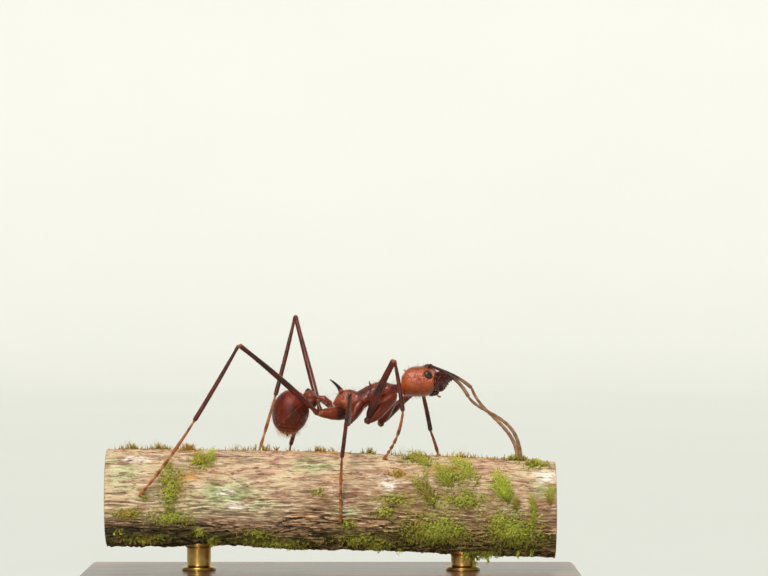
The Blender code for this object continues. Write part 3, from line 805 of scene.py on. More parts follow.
finish = Finish("eye_lens", tint(34, 30, 32), 0.34, **{"Coat Weight": 0.25, "Coat Roughness": 0.3})
facets = finish.cells(34.0)
sheen = finish.mix(facets.fade(0.2, 0.6), tint(44, 38, 42), tint(14, 10, 12))
sheen = finish.over(sheen, (finish.noise(5, 2).fade(0.5, 0.7) * 0.15, 60, 50, 54))
EYE_LENS = finish.done(sheen, Roughness=0.32 + 0.2 * facets)


# %% [markdown]
# ## Head
# The head is the ant's biggest plate, packed with the muscles of the jaws. From above it is heart-shaped,
# with a notch at the nape between two round lobes. It is drawn out along the outline of its solid, then
# sculpted: the furrow down the brow, a lobe over each feeler's socket, the cheek, the rim round the eye and
# the plate over the mouth.

# %% Draw out and sculpt the head
def outline(nodes, start, end, count, keep=lambda p: True, axis=0):
    """Stations along a solid, closer together at its two rounded ends."""
    places = [start + (end - start) * (1 - math.cos(math.pi * i / (count - 1))) / 2 for i in range(count)]
    return [(p, *girth(nodes, p, axis, keep)) for p in places]


EYES = {}  # middle and half size of each eye
for side in SIDES:
    low, high = box_mm(f"eye_{side}")
    EYES[side] = ((low + high) / 2, (high - low) / 2)
HEAD_LOW, HEAD_HIGH = box_mm("head")
NAPE = float(min(p[0] for p in corners("head") if p[2] < HEAD_LOW.z + 1.1))  # below the thorns
print("the nape is at", round(NAPE, 2), "mm")
heights = outline(["head"], NAPE + 0.09, HEAD_HIGH.x - 0.015, 15, keep=lambda p: 0.22 < abs(p.y) < 0.5)
widths = outline(["head"], NAPE + 0.09, HEAD_HIGH.x - 0.015, 15, keep=lambda p: p.z < 12.3)
fuller = lambda x: 0.30 * math.exp(-(((x - NAPE - 0.06) / 0.24) ** 2))  # the throat hangs lower behind
stations = [(x, low - fuller(x), high, w[3]) for (x, low, high, _), w in zip(heights, widths)]
x, low, high, wide = stations[0]
stations.insert(0, (x - 0.09, low + 0.02, high - 0.05, wide * 0.98))
stations.insert(0, (x - 0.14, low + 0.14, high - 0.20, wide * 0.82))
head = draw_out("head_shell", stations, sides=18, rounds=3)
xs, lows, highs, wides = np.array(stations).T
rear, face, BROW = xs[0], xs[-1], max(highs)

# %% [markdown]
# A section of the head is boxier than an ellipse, so every vertex is moved out towards the corners. The nape
# is then pressed in at the middle, most at the top, which leaves a lobe on each side.

# %% Box the head, notch its nape and sculpt its features
BOXY = 2.7  # 2 would be an ellipse
places, _ = read_mesh(head)
middle = np.interp(places[:, 0], xs, (lows + highs) / 2)
tall = np.interp(places[:, 0], xs, (highs - lows) / 2)
wide = np.interp(places[:, 0], xs, wides)
rise, out = (places[:, 2] - middle) / tall, places[:, 1] / wide
slant = np.hypot(rise, out) + 1e-9
square = (abs(rise / slant) ** BOXY + abs(out / slant) ** BOXY) ** (-1 / BOXY)
places[:, 1] *= square
places[:, 2] = middle + (places[:, 2] - middle) * square
middle_x = (rear + face) / 2
behind = np.clip((middle_x - places[:, 0]) / (middle_x - rear), 0, 1)
upper = np.clip(0.62 + 0.55 * rise, 0.12, 1)
places[:, 0] += 0.30 * upper * behind**2 * np.exp(-((places[:, 1] / 0.40) ** 2))
write_mesh(head, places)
eye, eye_size = EYES["left"]
sculpt(head, [
    ((rear + 0.5, 0, BROW), (0.55, 0.10, 0.30), -0.05),  # furrow down the brow
    ((rear + 0.25, 0.55, BROW - 0.25), (0.35, 0.34, 0.35), 0.05),  # lobes of the nape
    ((face - 0.44, 0.34, BROW - 0.02), (0.20, 0.13, 0.22), 0.13),  # lobes over the feelers' sockets
    ((face - 0.16, 0.26, BROW - 0.10), (0.20, 0.07, 0.20), 0.07),  # ridges from the lobes to the mouth
    ((face - 0.10, 0.20, BROW - 0.22), (0.14, 0.24, 0.16), 0.10),  # the swelling under the ridges
    ((face - 0.24, 0.50, BROW - 0.10), (0.15, 0.10, 0.16), -0.10),  # the sockets' hollows
    ((face - 0.30, 0.0, BROW - 0.02), (0.35, 0.13, 0.25), -0.05),  # hollow between the lobes
    ((eye.x - 0.05, 0.80, eye.z + 0.26), (0.36, 0.2, 0.06), 0.035),  # ridge over the eye
    ((eye.x - 0.1, 0.9, eye.z - 0.55), (0.42, 0.4, 0.26), 0.035),  # cheek
    ((face, 0.0, eye.z + 0.08), (0.14, 0.30, 0.16), 0.15),  # plate over the mouth
    ((face, 0.0, eye.z - 0.12), (0.14, 0.36, 0.05), -0.06),  # the plate's free edge
    ((face, 0.42, eye.z - 0.36), (0.14, 0.16, 0.34), -0.09),  # where the jaws hinge
    ((face - 0.20, 0.80, eye.z - 0.10), (0.10, 0.2, 0.30), 0.03),  # ridge between eye and jaw
    ((face - 0.2, 0.0, HEAD_LOW.z), (0.5, 0.05, 0.2), -0.03),  # throat seam
    ((rear + 0.55, 0.30, HEAD_LOW.z), (0.45, 0.22, 0.2), 0.025),  # the two sides of the throat
])
places, directions = read_mesh(head)
along, up = ((places[:, k] - eye[k]) / (eye_size[k] + 0.02) for k in (0, 2))
ring = np.sqrt(along**2 + up**2)  # 1 on the outline of the eye
rim = 0.02 * np.exp(-(((ring - 1.18) / 0.13) ** 2)) - 0.05 * np.clip(1.15 - ring, 0, 1)
write_mesh(head, places + directions * (rim * (abs(places[:, 1]) > 0.3))[:, None])


# %% [markdown]
# Thorns guard the ant against birds and other ants. A thorn is a slim cone with a flared root that melts
# into the plate, and a slight curve. Each one's tip is where the solid's tip is, and it leans as it does.

# %% Thorns
THORN = [
    (0.0, 2.1), (0.08, 1.6), (0.18, 1.15), (0.35, 0.9), (0.6, 0.62), (0.85, 0.34), (0.97, 0.16), (1.0, 0.07),
]


def thorn(node, sign, lean, radius, share, off_middle, bow=0.05, dark=1.5):
    """A thorn whose tip is the highest point of a solid on one side, at least off_middle from the middle.
    Its root lies back from there by lean, the way from root to tip on the left side. Share is how much
    of that way it really reaches, and dark how soon it turns black."""
    points = corners(node)
    points = points[points[:, 1] * sign > off_middle]
    lean = Vector((lean[0], lean[1] * sign, lean[2]))
    root, lean = Vector(points[points[:, 2].argmax()]) - lean, lean * share
    piece = tube("thorn", lean.length, scaled(THORN, radius), sides=10, bow=bow)
    places, _ = read_mesh(piece)
    paint(piece, "thorn", (places[:, 0] / lean.length - 0.15) * dark)
    return lay(piece, root, root + lean, up=(1, 0, 0))


head_thorns = [thorn("head", sign, (-0.30, 0.08, 0.38), 0.050, 0.66, 0.5) for sign in SIDES.values()]
settle(join([head] + head_thorns), HEAD_SHELL, "head", slot="head_shell")

# %% [markdown]
# ## Eyes
# A compound eye is a dome of some hundreds of round lenses set in a hexagonal pattern. An icosphere has
# that pattern already: every vertex has six neighbours. It is subdivided once more, and the old vertices
# are pushed out, so that each becomes the top of one lens.

# %% Eyes with their lenses
for side, sign in SIDES.items():
    middle, half_size = EYES[side]
    ball = begin(f"lens_{side}", "ico_sphere", subdivisions=4, radius=1.0)
    lens_count = len(ball.data.vertices)
    with edit_mode():
        bpy.ops.mesh.subdivide(number_cuts=1, smoothness=1.0)
    places, _ = read_mesh(ball)
    places /= np.linalg.norm(places, axis=1)[:, None]
    places[:lens_count] *= 1.022
    turn = Matrix.Rotation(-sign * math.radians(24), 3, "Z")
    tilt = Matrix.Rotation(math.radians(28), 3, "Y")
    places = (places * (0.25, 0.17, 0.205)) @ np.array(tilt).T @ np.array(turn).T
    write_mesh(ball, places * (np.array(half_size) / abs(places).max(0)) + np.array(middle))
    settle(ball, EYE_LENS, f"eye_{side}", slot="eye_lens", angle=180)

# %% [markdown]
# ## Jaws and mouth
# The jaws are the ant's shears: two broad, curved blades with a row of teeth along the inner edge. A blade
# is drawn out like the rest, flattened to an edge on its inner side, and its teeth are small cones that
# grow towards the tip. Under the jaws hang two pairs of jointed feelers of the mouth, the palps.

# %% Jaws with teeth
def jaw_fold(along, up, inner):
    """How far a blade's surface stands off the midline: along runs from hinge to tip, up from the cutting
    edge to the top edge, and inner is 1 on the hollow side, -1 on the outside."""
    cutting = 0.07 + 0.32 * np.clip(1 - along / 0.28, 0, 1) ** 1.5
    top = 0.08 + 0.24 * (1 - along**1.6)
    bulge = 0.27 * (1 - along**2.4) * np.sin(math.pi * np.clip(up, 0, 1) ** 0.85)
    thick = (0.035 + 0.12 * np.clip(up, 0, 1) ** 0.7) * (1 - 0.55 * along)
    return cutting + (top - cutting) * up + bulge - inner * thick


TOOTH = [(0, 1.0), (0.35, 0.9), (0.75, 0.42)]


def make_jaw(side, sign):
    node = f"mandible_{side}"
    low, high = box_mm(node)
    xs = [low.x + 0.19 + (high.x - low.x - 0.21) * i / 9 for i in range(10)]
    rows = [(x, girth([node], x)[0] + 0.03, girth([node], x)[1]) for x in xs]
    rows.insert(0, (low.x + 0.05, rows[0][1] + 0.10, rows[0][2] - 0.06))
    blade = draw_out(node + "_blade", [(*row, 1.0) for row in rows], sides=20, rounds=3)
    xs, lows, highs = np.array(rows).T
    places, _ = read_mesh(blade)
    along = np.clip((places[:, 0] - xs[0]) / (xs[-1] - xs[0]), 0, 1)
    lower, upper = np.interp(places[:, 0], xs, lows), np.interp(places[:, 0], xs, highs)
    up = (places[:, 2] - lower) / (upper - lower)
    places[:, 1] = sign * jaw_fold(along, up, -places[:, 1])
    write_mesh(blade, places)
    places, directions = read_mesh(blade)
    furrow = np.sin(up * 34 + 3 * along) * 0.006 * np.clip(up * 3, 0, 1) * (1 - along)
    rough = np.array([noise.fractal(p * 8.0, 0.7, 2.0, 3) for p in map(Vector, places)]) * 0.006
    write_mesh(blade, places - directions * sign * (furrow + rough)[:, None])

    def edge(share, up):
        x = xs[0] + share * (xs[-1] - xs[0])
        lower, upper = np.interp(x, xs, lows), np.interp(x, xs, highs)
        return Vector((x, sign * float(jaw_fold(share, up, 0)), float(lower + (upper - lower) * up)))

    teeth = []
    for i in range(9):
        share = 0.26 + 0.68 * i / 8
        root = edge(share, 0.10)
        away = (edge(share, 0.0) - edge(share, 0.16)).normalized() + Vector((0.35, -0.25 * sign, 0))
        size = 0.048 + 0.014 * (i % 2) + 0.016 * (i > 6)
        point = root + away.normalized() * (size * 1.9 + 0.05)
        tooth = tube("tooth", (point - root).length, scaled(TOOTH, size) + [(1, 0.006)], sides=8)
        teeth.append(lay(tooth, root, point, up=(0, 1, 0)))
    root, hook = edge(0.88, 0.5), Vector((high.x, sign * 0.02, highs[-1] - 0.10))
    tip = tube("tooth", (hook - root).length, [(0, 0.10), (0.4, 0.085), (0.75, 0.048), (1, 0.008)], bow=0.04)
    teeth.append(lay(tip, root, hook))
    whole = join([blade] + teeth)
    with edit_mode():
        face_outward()
    return settle(whole, JAW_SHELL, node, slot="jaw_shell")


for side, sign in SIDES.items():
    make_jaw(side, sign)

# %% The lower lip and the palps
chin = HEAD_LOW.z
lip = draw_out("lower_lip", [
    (face - 0.42, chin + 0.06, chin + 0.20, 0.12),
    (face - 0.30, chin + 0.03, chin + 0.30, 0.20),
    (face - 0.10, chin + 0.06, chin + 0.36, 0.22),
    (face + 0.04, chin + 0.12, chin + 0.36, 0.17),
    (face + 0.10, chin + 0.18, chin + 0.32, 0.10),
], sides=16, rounds=2)
sculpt(lip, [
    ((face + 0.02, 0, chin + 0.1), (0.2, 0.03, 0.2), -0.02),  # the cleft
    ((face, 0.13, chin + 0.2), (0.1, 0.06, 0.1), 0.02),  # the palps' roots
])
settle(lip, JAW_SHELL, slot="jaw_shell")
BEADS = [
    (0.0, 0.020), (0.04, 0.030), (0.2, 0.033), (0.24, 0.022), (0.28, 0.032), (0.5, 0.030), (0.54, 0.020),
    (0.58, 0.028), (0.78, 0.027), (0.81, 0.017), (0.85, 0.024), (0.97, 0.018), (1.0, 0.006),
]
palps = []
for sign in SIDES.values():
    for out, forward, drop in ((0.09, 0.22, 0.10), (0.17, 0.20, 0.16)):
        start = Vector((face - 0.02, sign * out, chin + 0.15))
        end = start + Vector((forward, sign * 0.03, -drop))
        palps.append(lay(tube("palp", (end - start).length, BEADS, sides=8, bow=-0.04), start, end))
settle(join(palps), FOOT_SHELL, slot="foot_shell")
bpy.context.object.name = "palps"


# %% [markdown]
# ## Trunk
# The trunk of an ant is three plates grown together: the broad one behind the neck, the middle one with
# the seams of the legs' muscles, and the rear one with the two long thorns. The whole trunk is drawn out and
# sculpted first. Then it is copied three times and each copy is cut with a plane, so the plates meet exactly,
# and each cut edge is turned in to give the plate its thickness.

# %% Draw out and sculpt the whole trunk
TRUNK = ["propodeum", "mesothorax", "pronotum"]
NECK = box_mm("pronotum")[1].x
off_thorns = lambda p: abs(p.y) < 0.24 or p.z < 11.15 or p.x > 2.9
spans = []
for i in range(17):
    x = 0.14 + (NECK - 0.06 - 0.14) * i / 16 + 0.004
    low, high, wide = girth(TRUNK, x, keep=off_thorns)
    rear_hump = 0.15 * math.exp(-(((x - 0.84) / 0.36) ** 4))
    spans.append((x, low, high + rear_hump, wide))
x, low, high, wide = spans[0]
trunk = draw_out("trunk", [(x - 0.06, low + 0.12, high - 0.12, wide * 0.5)] + spans, sides=18, rounds=3)
span_x, *span_rows = np.array(spans).T
belly_at, back_at, wide_at = (lambda x, row=row: float(np.interp(x, span_x, row)) for row in span_rows)
middle_at = lambda x: (back_at(x) + belly_at(x)) / 2
sculpt(trunk, [
    ((0.55, 0.50, middle_at(0.5) - 0.10), (0.20, 0.2, 0.12), 0.05),  # the gland's swelling
    ((0.86, 0.55, middle_at(0.8) + 0.12), (0.10, 0.2, 0.10), -0.045),  # the fold before it
    ((1.55, 0.60, middle_at(1.5) - 0.12), (0.26, 0.3, 0.22), 0.05),  # muscle of the middle leg
    ((1.30, 0.0, back_at(1.3)), (0.10, 0.5, 0.12), -0.05),  # the saddle across the back
    ((1.92, 0.65, middle_at(1.9)), (0.07, 0.4, 0.42), -0.045),  # groove down the side
    ((1.72, 0.22, back_at(1.75)), (0.16, 0.12, 0.14), 0.045),  # blunt humps of the back
    ((2.62, 0.72, middle_at(2.6) - 0.1), (0.30, 0.3, 0.26), 0.045),  # shoulder
    ((2.75, 0.0, back_at(2.7)), (0.4, 0.09, 0.2), -0.03),  # furrow between the shoulders
    ((3.10, 0.0, middle_at(3.1)), (0.10, 1.0, 0.9), -0.03),  # the collar
    ((0.62, 0.0, back_at(0.6)), (0.35, 0.12, 0.12), -0.04),  # hollow between the rear thorns
])
places, _ = read_mesh(trunk)
hollow = np.exp(-(((places[:, 0] - 0.95) / 0.05) ** 2)) + np.exp(-(((places[:, 0] - 1.92) / 0.04) ** 2))
paint(trunk, "hollow", hollow * 0.7)
roughen(trunk, 6.0, 0.010)


# %% Cut it into its three plates
SHARP = 1e-6


def plate(name, cuts):
    """A copy of the trunk kept on the far side of each cut: (place on X, lean in degrees, facing, sunk)."""
    piece = add_object(f"{name}_shell", trunk.data.copy())
    piece.data.name = piece.name
    for x, lean, facing, sunk in cuts:
        away = Vector((math.cos(math.radians(lean)), 0, math.sin(math.radians(lean)))) * facing
        point = Vector((x, 0, middle_at(x)))
        if sunk:
            places, directions = read_mesh(piece)
            near = (places - np.array(point)) @ np.array(away)
            write_mesh(piece, places - directions * (0.035 * np.clip(1 - near / 0.10, 0, 1) ** 0.7)[:, None])
        else:
            step_plate(piece, point, -away, 0.016, width=0.02, fade=0.12)
        choose(piece)
        with edit_mode():
            bpy.ops.mesh.select_all(action="SELECT")
            bpy.ops.mesh.bisect(plane_co=point, plane_no=away, clear_inner=True, threshold=SHARP)
            bpy.ops.mesh.extrude_edges_move()
            bpy.ops.transform.resize(value=(1, 0.90, 0.90), center_override=point)
            bpy.ops.mesh.edge_face_add()
            face_outward()
        fix_order(piece)
    return piece


FRONT_CUT, REAR_CUT = (2.12, -22.0), (1.14, -12.0)
TUCKED = 0.07  # how far a plate slides under the next
front_tuck, rear_tuck = ((x + TUCKED, lean, -1, True) for x, lean in (FRONT_CUT, REAR_CUT))
plates = {
    "pronotum": plate("pronotum", [(*FRONT_CUT, 1, False)]),
    "mesothorax": plate("mesothorax", [front_tuck, (*REAR_CUT, 1, False)]),
    "propodeum": plate("propodeum", [rear_tuck]),
}
bpy.data.objects.remove(trunk)
THORNS = {  # way from root to tip, radius, share of it that shows, least distance off the middle, bow, dark
    "pronotum": ((0.14, 0.38, 0.58), 0.072, 0.8, 0.5, 0.05, 1.5),
    "mesothorax": ((-0.08, 0.10, 0.34), 0.065, 0.95, 0.28, 0.02, 1.2),
    "propodeum": ((-0.58, 0.28, 0.60), 0.092, 1.0, 0.3, 0.07, 20.0),
}
for name, piece in plates.items():
    extras = [thorn(name, sign, *THORNS[name]) for sign in SIDES.values()]
    for sign in SIDES.values() if name == "propodeum" else ():  # the breathing holes
        hole = begin("hole", "torus", major_radius=0.05, minor_radius=0.014,
                     major_segments=20, minor_segments=8)
        hole.data.transform(Matrix.Rotation(math.radians(90), 4, "X"))
        hole.data.transform(Matrix.Translation((0.60, sign * (wide_at(0.6) - 0.015), middle_at(0.6) + 0.14)))
        extras.append(hole)
    settle(join([piece] + extras), TRUNK_SHELL, name, slot="trunk_shell")

# %% [markdown]
# ## Waist and gaster
# Two small knots make the waist: the first carries a low saddle, the second is broader than long. Behind
# them hangs the gaster, one great plate that covers almost all of it, with the narrow rings of the tip
# sliding under it like the parts of a telescope. Each ring is a step in the surface.

# %% The two knots of the waist
for node in ("petiole", "postpetiole"):
    low, high = box_mm(node)
    knot = draw_out(f"{node}_shell", outline([node], low.x + 0.03, high.x - 0.03, 9), sides=16, rounds=2)
    mid = (low.x + high.x) / 2
    sculpt(knot, {
        "petiole": [
            ((mid + 0.02, 0.12, high.z), (0.09, 0.08, 0.14), 0.05),  # the saddle's two low points
            ((mid, 0.0, low.z), (0.22, 0.05, 0.08), 0.03),  # keel
        ],
        "postpetiole": [
            ((mid, 0.0, high.z), (0.2, 0.07, 0.12), -0.035),  # furrow along the top
            ((mid - 0.05, 0.36, high.z - 0.24), (0.16, 0.14, 0.12), 0.04),  # its two shoulders
            ((mid + 0.02, 0.40, high.z - 0.46), (0.30, 0.3, 0.06), -0.04),  # groove round the belly
        ],
    }[node])
    places, _ = read_mesh(knot)
    roughen(knot, 7.0, 0.008)
    dark_under = 4 if node == "postpetiole" else 0
    paint(knot, "shade", (high.z - 0.40 - places[:, 2]) * dark_under)
    settle(knot, TRUNK_SHELL, node, slot="trunk_shell")

# %% The gaster
low, high = box_mm("gaster")
rows = outline(["gaster"], low.z + 0.02, high.z - 0.02, 15, axis=2)
gaster = draw_out("gaster_shell", rows, sides=20, rounds=3, axis="Z")
top, tail = Vector((-1.72, 0, high.z)), Vector(((rows[0][1] + rows[0][2]) / 2, 0, low.z))
down, length = (tail - top).normalized(), (tail - top).length
places, _ = read_mesh(gaster)
seam, belly = np.zeros(len(places)), np.zeros(len(places))
cuts = [(Vector((-2.02, 0, high.z - 1.20)), Vector((0.66, 0, -0.75)), 0.022)]  # where the great plate ends
cuts += [(top + down * length * s, down + Vector((0.12, 0, 0)), 0.016) for s in (0.80, 0.88, 0.945)]
for point, normal, step in cuts:
    beyond = (places - np.array(point)) @ np.array(normal.normalized())
    seam += np.exp(-(((beyond - 0.012) / 0.02) ** 2))
    belly = np.maximum(belly, np.clip(beyond / 0.05, 0, 1) * (step > 0.02))
    step_plate(gaster, point, normal, step, width=0.025, fade=0.25)
roughen(gaster, 3.0, 0.010, dim=0.8)
paint(gaster, "seam", seam)
paint(gaster, "belly", belly)
sting = tube("sting", 0.16, [(0, 0.09), (0.4, 0.07), (0.8, 0.04), (1, 0.01)], sides=10)
lay(sting, tail - down * 0.06, tail + down * 0.1, up=(1, 0, 0))
settle(join([gaster, sting]), GASTER_SHELL, "gaster", slot="gaster_shell")

# %% [markdown]
# ## Legs
# Each leg has the same parts: a stout hip, a ring-like trochanter, the thigh, the shin with its spur, and a
# foot of five links with two claws. They are modelled once as straight limbs, a little thicker where the
# muscles are, and each leg gets its own copies, drawn to the length between its joints. The joints are
# measured on the solids, from the body outwards. The foot's last point is lowered until it meets the bark.

# %% Where every leg's joints are
THICKNESS = {  # the radius of thigh, shin and foot
    "fore": (0.212, 0.110, 0.080),
    "mid": (0.142, 0.100, 0.074),
    "hind": (0.158, 0.112, 0.080),
}
bark_points = [v.co / MM for v in bark.data.vertices]
bark_tree = BVHTree.FromPolygons(bark_points, [polygon.vertices for polygon in bark.data.polygons])


def down_to_bark(point, out):
    """The place on the bark below a point, seen from the twig's axis, and the direction out of it."""
    middle = Vector((point.x, 0, float(axis_height(point.x))))
    outward = (point - middle).normalized()
    hit = bark_tree.ray_cast(middle + outward * (BARK + 1.5), -outward)[0]
    return hit + outward * out, outward


JOINTS = {}
for leg in LEGS:
    root = Vector(corners(f"coxa_{leg}").mean(0))
    joints = [limb_end(f"coxa_{leg}", Vector((root.x, root.y * 0.3, root.z + 0.2)), 0.26)]
    for part in ("femur", "tibia", "tarsus"):
        joints.append(limb_end(f"{part}_{leg}", joints[-1]))
    JOINTS[leg] = joints  # hip, knee, ankle, foot
    print(leg, *[tuple(round(c, 2) for c in p) for p in joints])


# %% Hips, thighs and shins
def limb(name, start, end, profile, bow, up, ends, rounds=2, pale=1.0):
    """A straight limb between joints; its ends are paler by pale, partly skin colour, partly painted
    highlight.
    """
    length = (end - start).length
    piece = tube(name, length, profile, sides=14, rounds=rounds, bow=bow)
    places, _ = read_mesh(piece)
    near_end = np.maximum(1 - places[:, 0] / ends[0], 1 - (length - places[:, 0]) / ends[1])
    paint(piece, "joint", near_end.clip(0) * pale)
    return lay(piece, start, end, up)


BEND = {"fore": Vector((-1, 0, 0.3)), "mid": None, "hind": Vector((-0.3, 0, 1))}  # where to the limbs bow
BOW = {"fore": 0.10, "mid": 0.05, "hind": 0.09}
COXA = {  # how far its root goes into the body, its radius, how full its end is, how warm its colour
    "fore": (0.16, 0.32, 1.16, 0.55),
    "mid": (0.22, 0.28, 1.0, 0.3),
    "hind": (0.04, 0.34, 1.0, 0.8),
}
FEMUR = [
    (0.0, 0.85), (0.035, 0.95), (0.06, 0.62), (0.075, 0.60), (0.11, 0.86), (0.25, 1.02), (0.42, 1.0),
    (0.62, 0.86), (0.82, 0.74), (0.93, 0.74), (0.975, 0.86), (0.995, 0.7), (1.0, 0.3),
]
TIBIA = [
    (0.0, 0.5), (0.02, 0.86), (0.05, 0.80), (0.09, 0.66), (0.2, 0.82), (0.45, 1.0), (0.7, 1.0), (0.9, 1.04),
    (0.975, 1.1), (0.99, 0.9), (1.0, 0.4),
]
SPUR = [(0, 0.03), (0.5, 0.024), (0.9, 0.012), (1, 0.004)]


def make_coxa(leg, kind, hip, outward):
    deep, wide, full, warm = COXA[kind]
    near = end_middle(f"coxa_{leg}", hip, slice(-12, None))
    root = near + (near - hip).normalized() * deep
    profile = scaled([(0, 0.7), (0.12, 0.96), (0.35, full), (0.6, 0.86 * full**2),
                      (0.82, 0.62 * full**3), (0.95, 0.46 * full), (1.0, 0.2)], wide)
    coxa = limb(f"coxa_{leg}_shell", root, hip, profile, 0.05, outward, (0.01, 0.10), rounds=3)
    places, directions = read_mesh(coxa)
    down = (places - np.array(root)) @ np.array((hip - root).normalized())
    waves = np.sin(down * 84 + 2.0 * np.sin(places[:, 2] * 9))
    ridges = waves * np.clip(places[:, 2] - root.z + 0.3, 0, 0.4) / 0.4
    write_mesh(coxa, places + directions * (0.008 * ridges)[:, None])
    paint(coxa, "shade", (places[:, 0] - 0.22) * (6 if kind == "hind" else 0))
    paint(coxa, "warm", warm * (1 - down / (hip - root).length * 0.4))
    bulge = root.lerp(hip, 0.5) + outward.normalized() * wide
    sculpt(coxa, [(bulge, (0.12, 0.4, 0.5), 0.02)], mirrored=False)
    settle(coxa, LEG_SHELL, f"coxa_{leg}", slot="leg_shell")


for leg, (kind, sign) in LEGS.items():
    hip, knee, ankle, foot = JOINTS[leg]
    thigh, shin, sole = THICKNESS[kind]
    outward = Vector((0, sign, 0.2))
    make_coxa(leg, kind, hip, outward)
    # The pale patch at knees and hips is partly painted highlight; the middle legs get little of it, as
    # painted shade.
    up, pale = BEND[kind] or outward, 0.1 if kind == "mid" else 0.8
    profile = [(-0.015, 0.06)] + scaled(FEMUR, thigh)
    femur = limb(f"femur_{leg}_shell", hip, knee, profile, BOW[kind], up, (0.05, 0.14), pale=pale)
    settle(femur, LEG_SHELL, f"femur_{leg}", slot="leg_shell")
    tibia = limb(f"tibia_{leg}_shell", knee, ankle, scaled(TIBIA, shin), -0.03, up, (0.14, 0.05), pale=pale)
    ahead = (ankle - knee).normalized()
    spur_root = ankle - ahead * 0.10 + outward.normalized() * -0.05
    spur_end = spur_root + ahead * (0.34 if kind == "fore" else 0.2) - outward.normalized() * 0.10
    spur = tube("spur", (spur_end - spur_root).length, SPUR, sides=6, bow=0.03)
    settle(join([tibia, lay(spur, spur_root, spur_end)]), LEG_SHELL, f"tibia_{leg}", slot="leg_shell")

# %% [markdown]
# A foot is a chain of five links. Each link widens towards its end, where a few stiff spines hold the next
# one. The last carries two hooked claws with a soft pad between them. The chain follows the middle line of
# its solid, and its end bends down so that the claws rest on the bark.

# %% Feet with claws
LINKS = [(0.0, 0.44), (0.46, 0.60), (0.62, 0.73), (0.75, 0.84), (0.86, 1.0)]
CLAW = [(0, 0.2), (0.3, 0.19), (0.7, 0.11), (0.95, 0.04), (1.0, 0.015)]
PAD = [(0, 0.03), (0.4, 0.05), (0.8, 0.045), (1, 0.02)]
SPINE = [(0, 0.014), (0.5, 0.010), (1, 0.003)]
FOOT_POINTS = 16


def links(name, length, radius, spans, flare=1.25, sides=10, waist=0.62):
    """A chain of links along X, each a little wider at its far end."""
    profile = [(-0.01, radius * 0.4)]
    for start, end in spans:
        reach = end - start
        profile += [(start + 0.004, radius * waist), (start + reach * 0.12, radius * (waist + 1) / 2),
                    (start + reach * 0.6, radius), (start + reach * 0.93, radius * flare),
                    (end, radius * (waist + 1) / 2), (end + 0.006, radius * (waist - 0.06))]
    profile[-1] = (1.003, radius * 0.3)
    piece = tube(name, length, profile, sides=sides)
    share = read_mesh(piece)[0][:, 0] / length
    joint = np.zeros(len(share))
    for start, end in spans:
        joint += np.exp(-(((share - end) / 0.02) ** 2)) + np.exp(-(((share - start) / 0.02) ** 2))
    paint(piece, "joint", joint)
    return piece


def claw(base, forward, outward, side, size):
    """A hooked claw that reaches forward, out to one side and down."""
    piece = tube("claw", size * 1.5, scaled(CLAW, size), sides=6)
    line = [
        base,
        base + forward * size * 0.5 + side * size * 0.42 + outward * size * 0.10,
        base + forward * size * 0.9 + side * size * 0.62 - outward * size * 0.08,
        base + forward * size * 1.05 + side * size * 0.66 - outward * size * 0.42,
    ]
    return bend(piece, line, up=outward)


FEET = {}
for leg, (kind, _) in LEGS.items():
    hip, knee, ankle, foot = JOINTS[leg]
    sole = THICKNESS[kind][2]
    touch, outward = down_to_bark(foot, out=sole * 0.75)
    line = middle_line(f"tarsus_{leg}", ankle, foot, touch - foot, count=FOOT_POINTS, degree=2, late=2.5)
    FEET[leg] = line
    chain = bend(links(f"tarsus_{leg}_shell", line_length(line), sole, LINKS), line, up=(1, 0, 0.2))
    end, ahead = line[-1], (line[-1] - line[0]).normalized()
    forward = (end - line[-3]).normalized()
    side = forward.cross(outward).normalized()
    flat_forward = outward.cross(side) * -1
    extras = [claw(end, flat_forward, outward, side * sign, 0.16) for sign in (-1, 1)]
    pad = tube("pad", 0.12, PAD, sides=8)
    extras.append(lay(pad, end, end + flat_forward * 0.1 - outward * 0.03, up=outward))
    steps = np.linspace(0, 1, FOOT_POINTS)
    for _, share in LINKS:  # the spines at the end of every link
        spot = Vector([np.interp(share, steps, [p[k] for p in line]) for k in range(3)])
        for turn in (-1.0, 0.0, 1.0):
            away = (side * turn - outward * 0.5 + ahead * 1.3).normalized()
            spine = tube("spine", 0.11, SPINE, sides=5, rounds=0)
            extras.append(lay(spine, spot + away * sole * 0.5, spot + away, up=(0.3, 0.9, 0.2)))
    settle(join([chain] + extras), FOOT_SHELL, f"tarsus_{leg}", slot="foot_shell")

# %% [markdown]
# ## Feelers
# A feeler is a long first link, the scape, and a whip of ten shorter links, thicker towards the tip, where
# the ant smells and feels with it. Both follow the middle lines of their solids. The whips' tips touch the
# twig, as the ant tests its way.

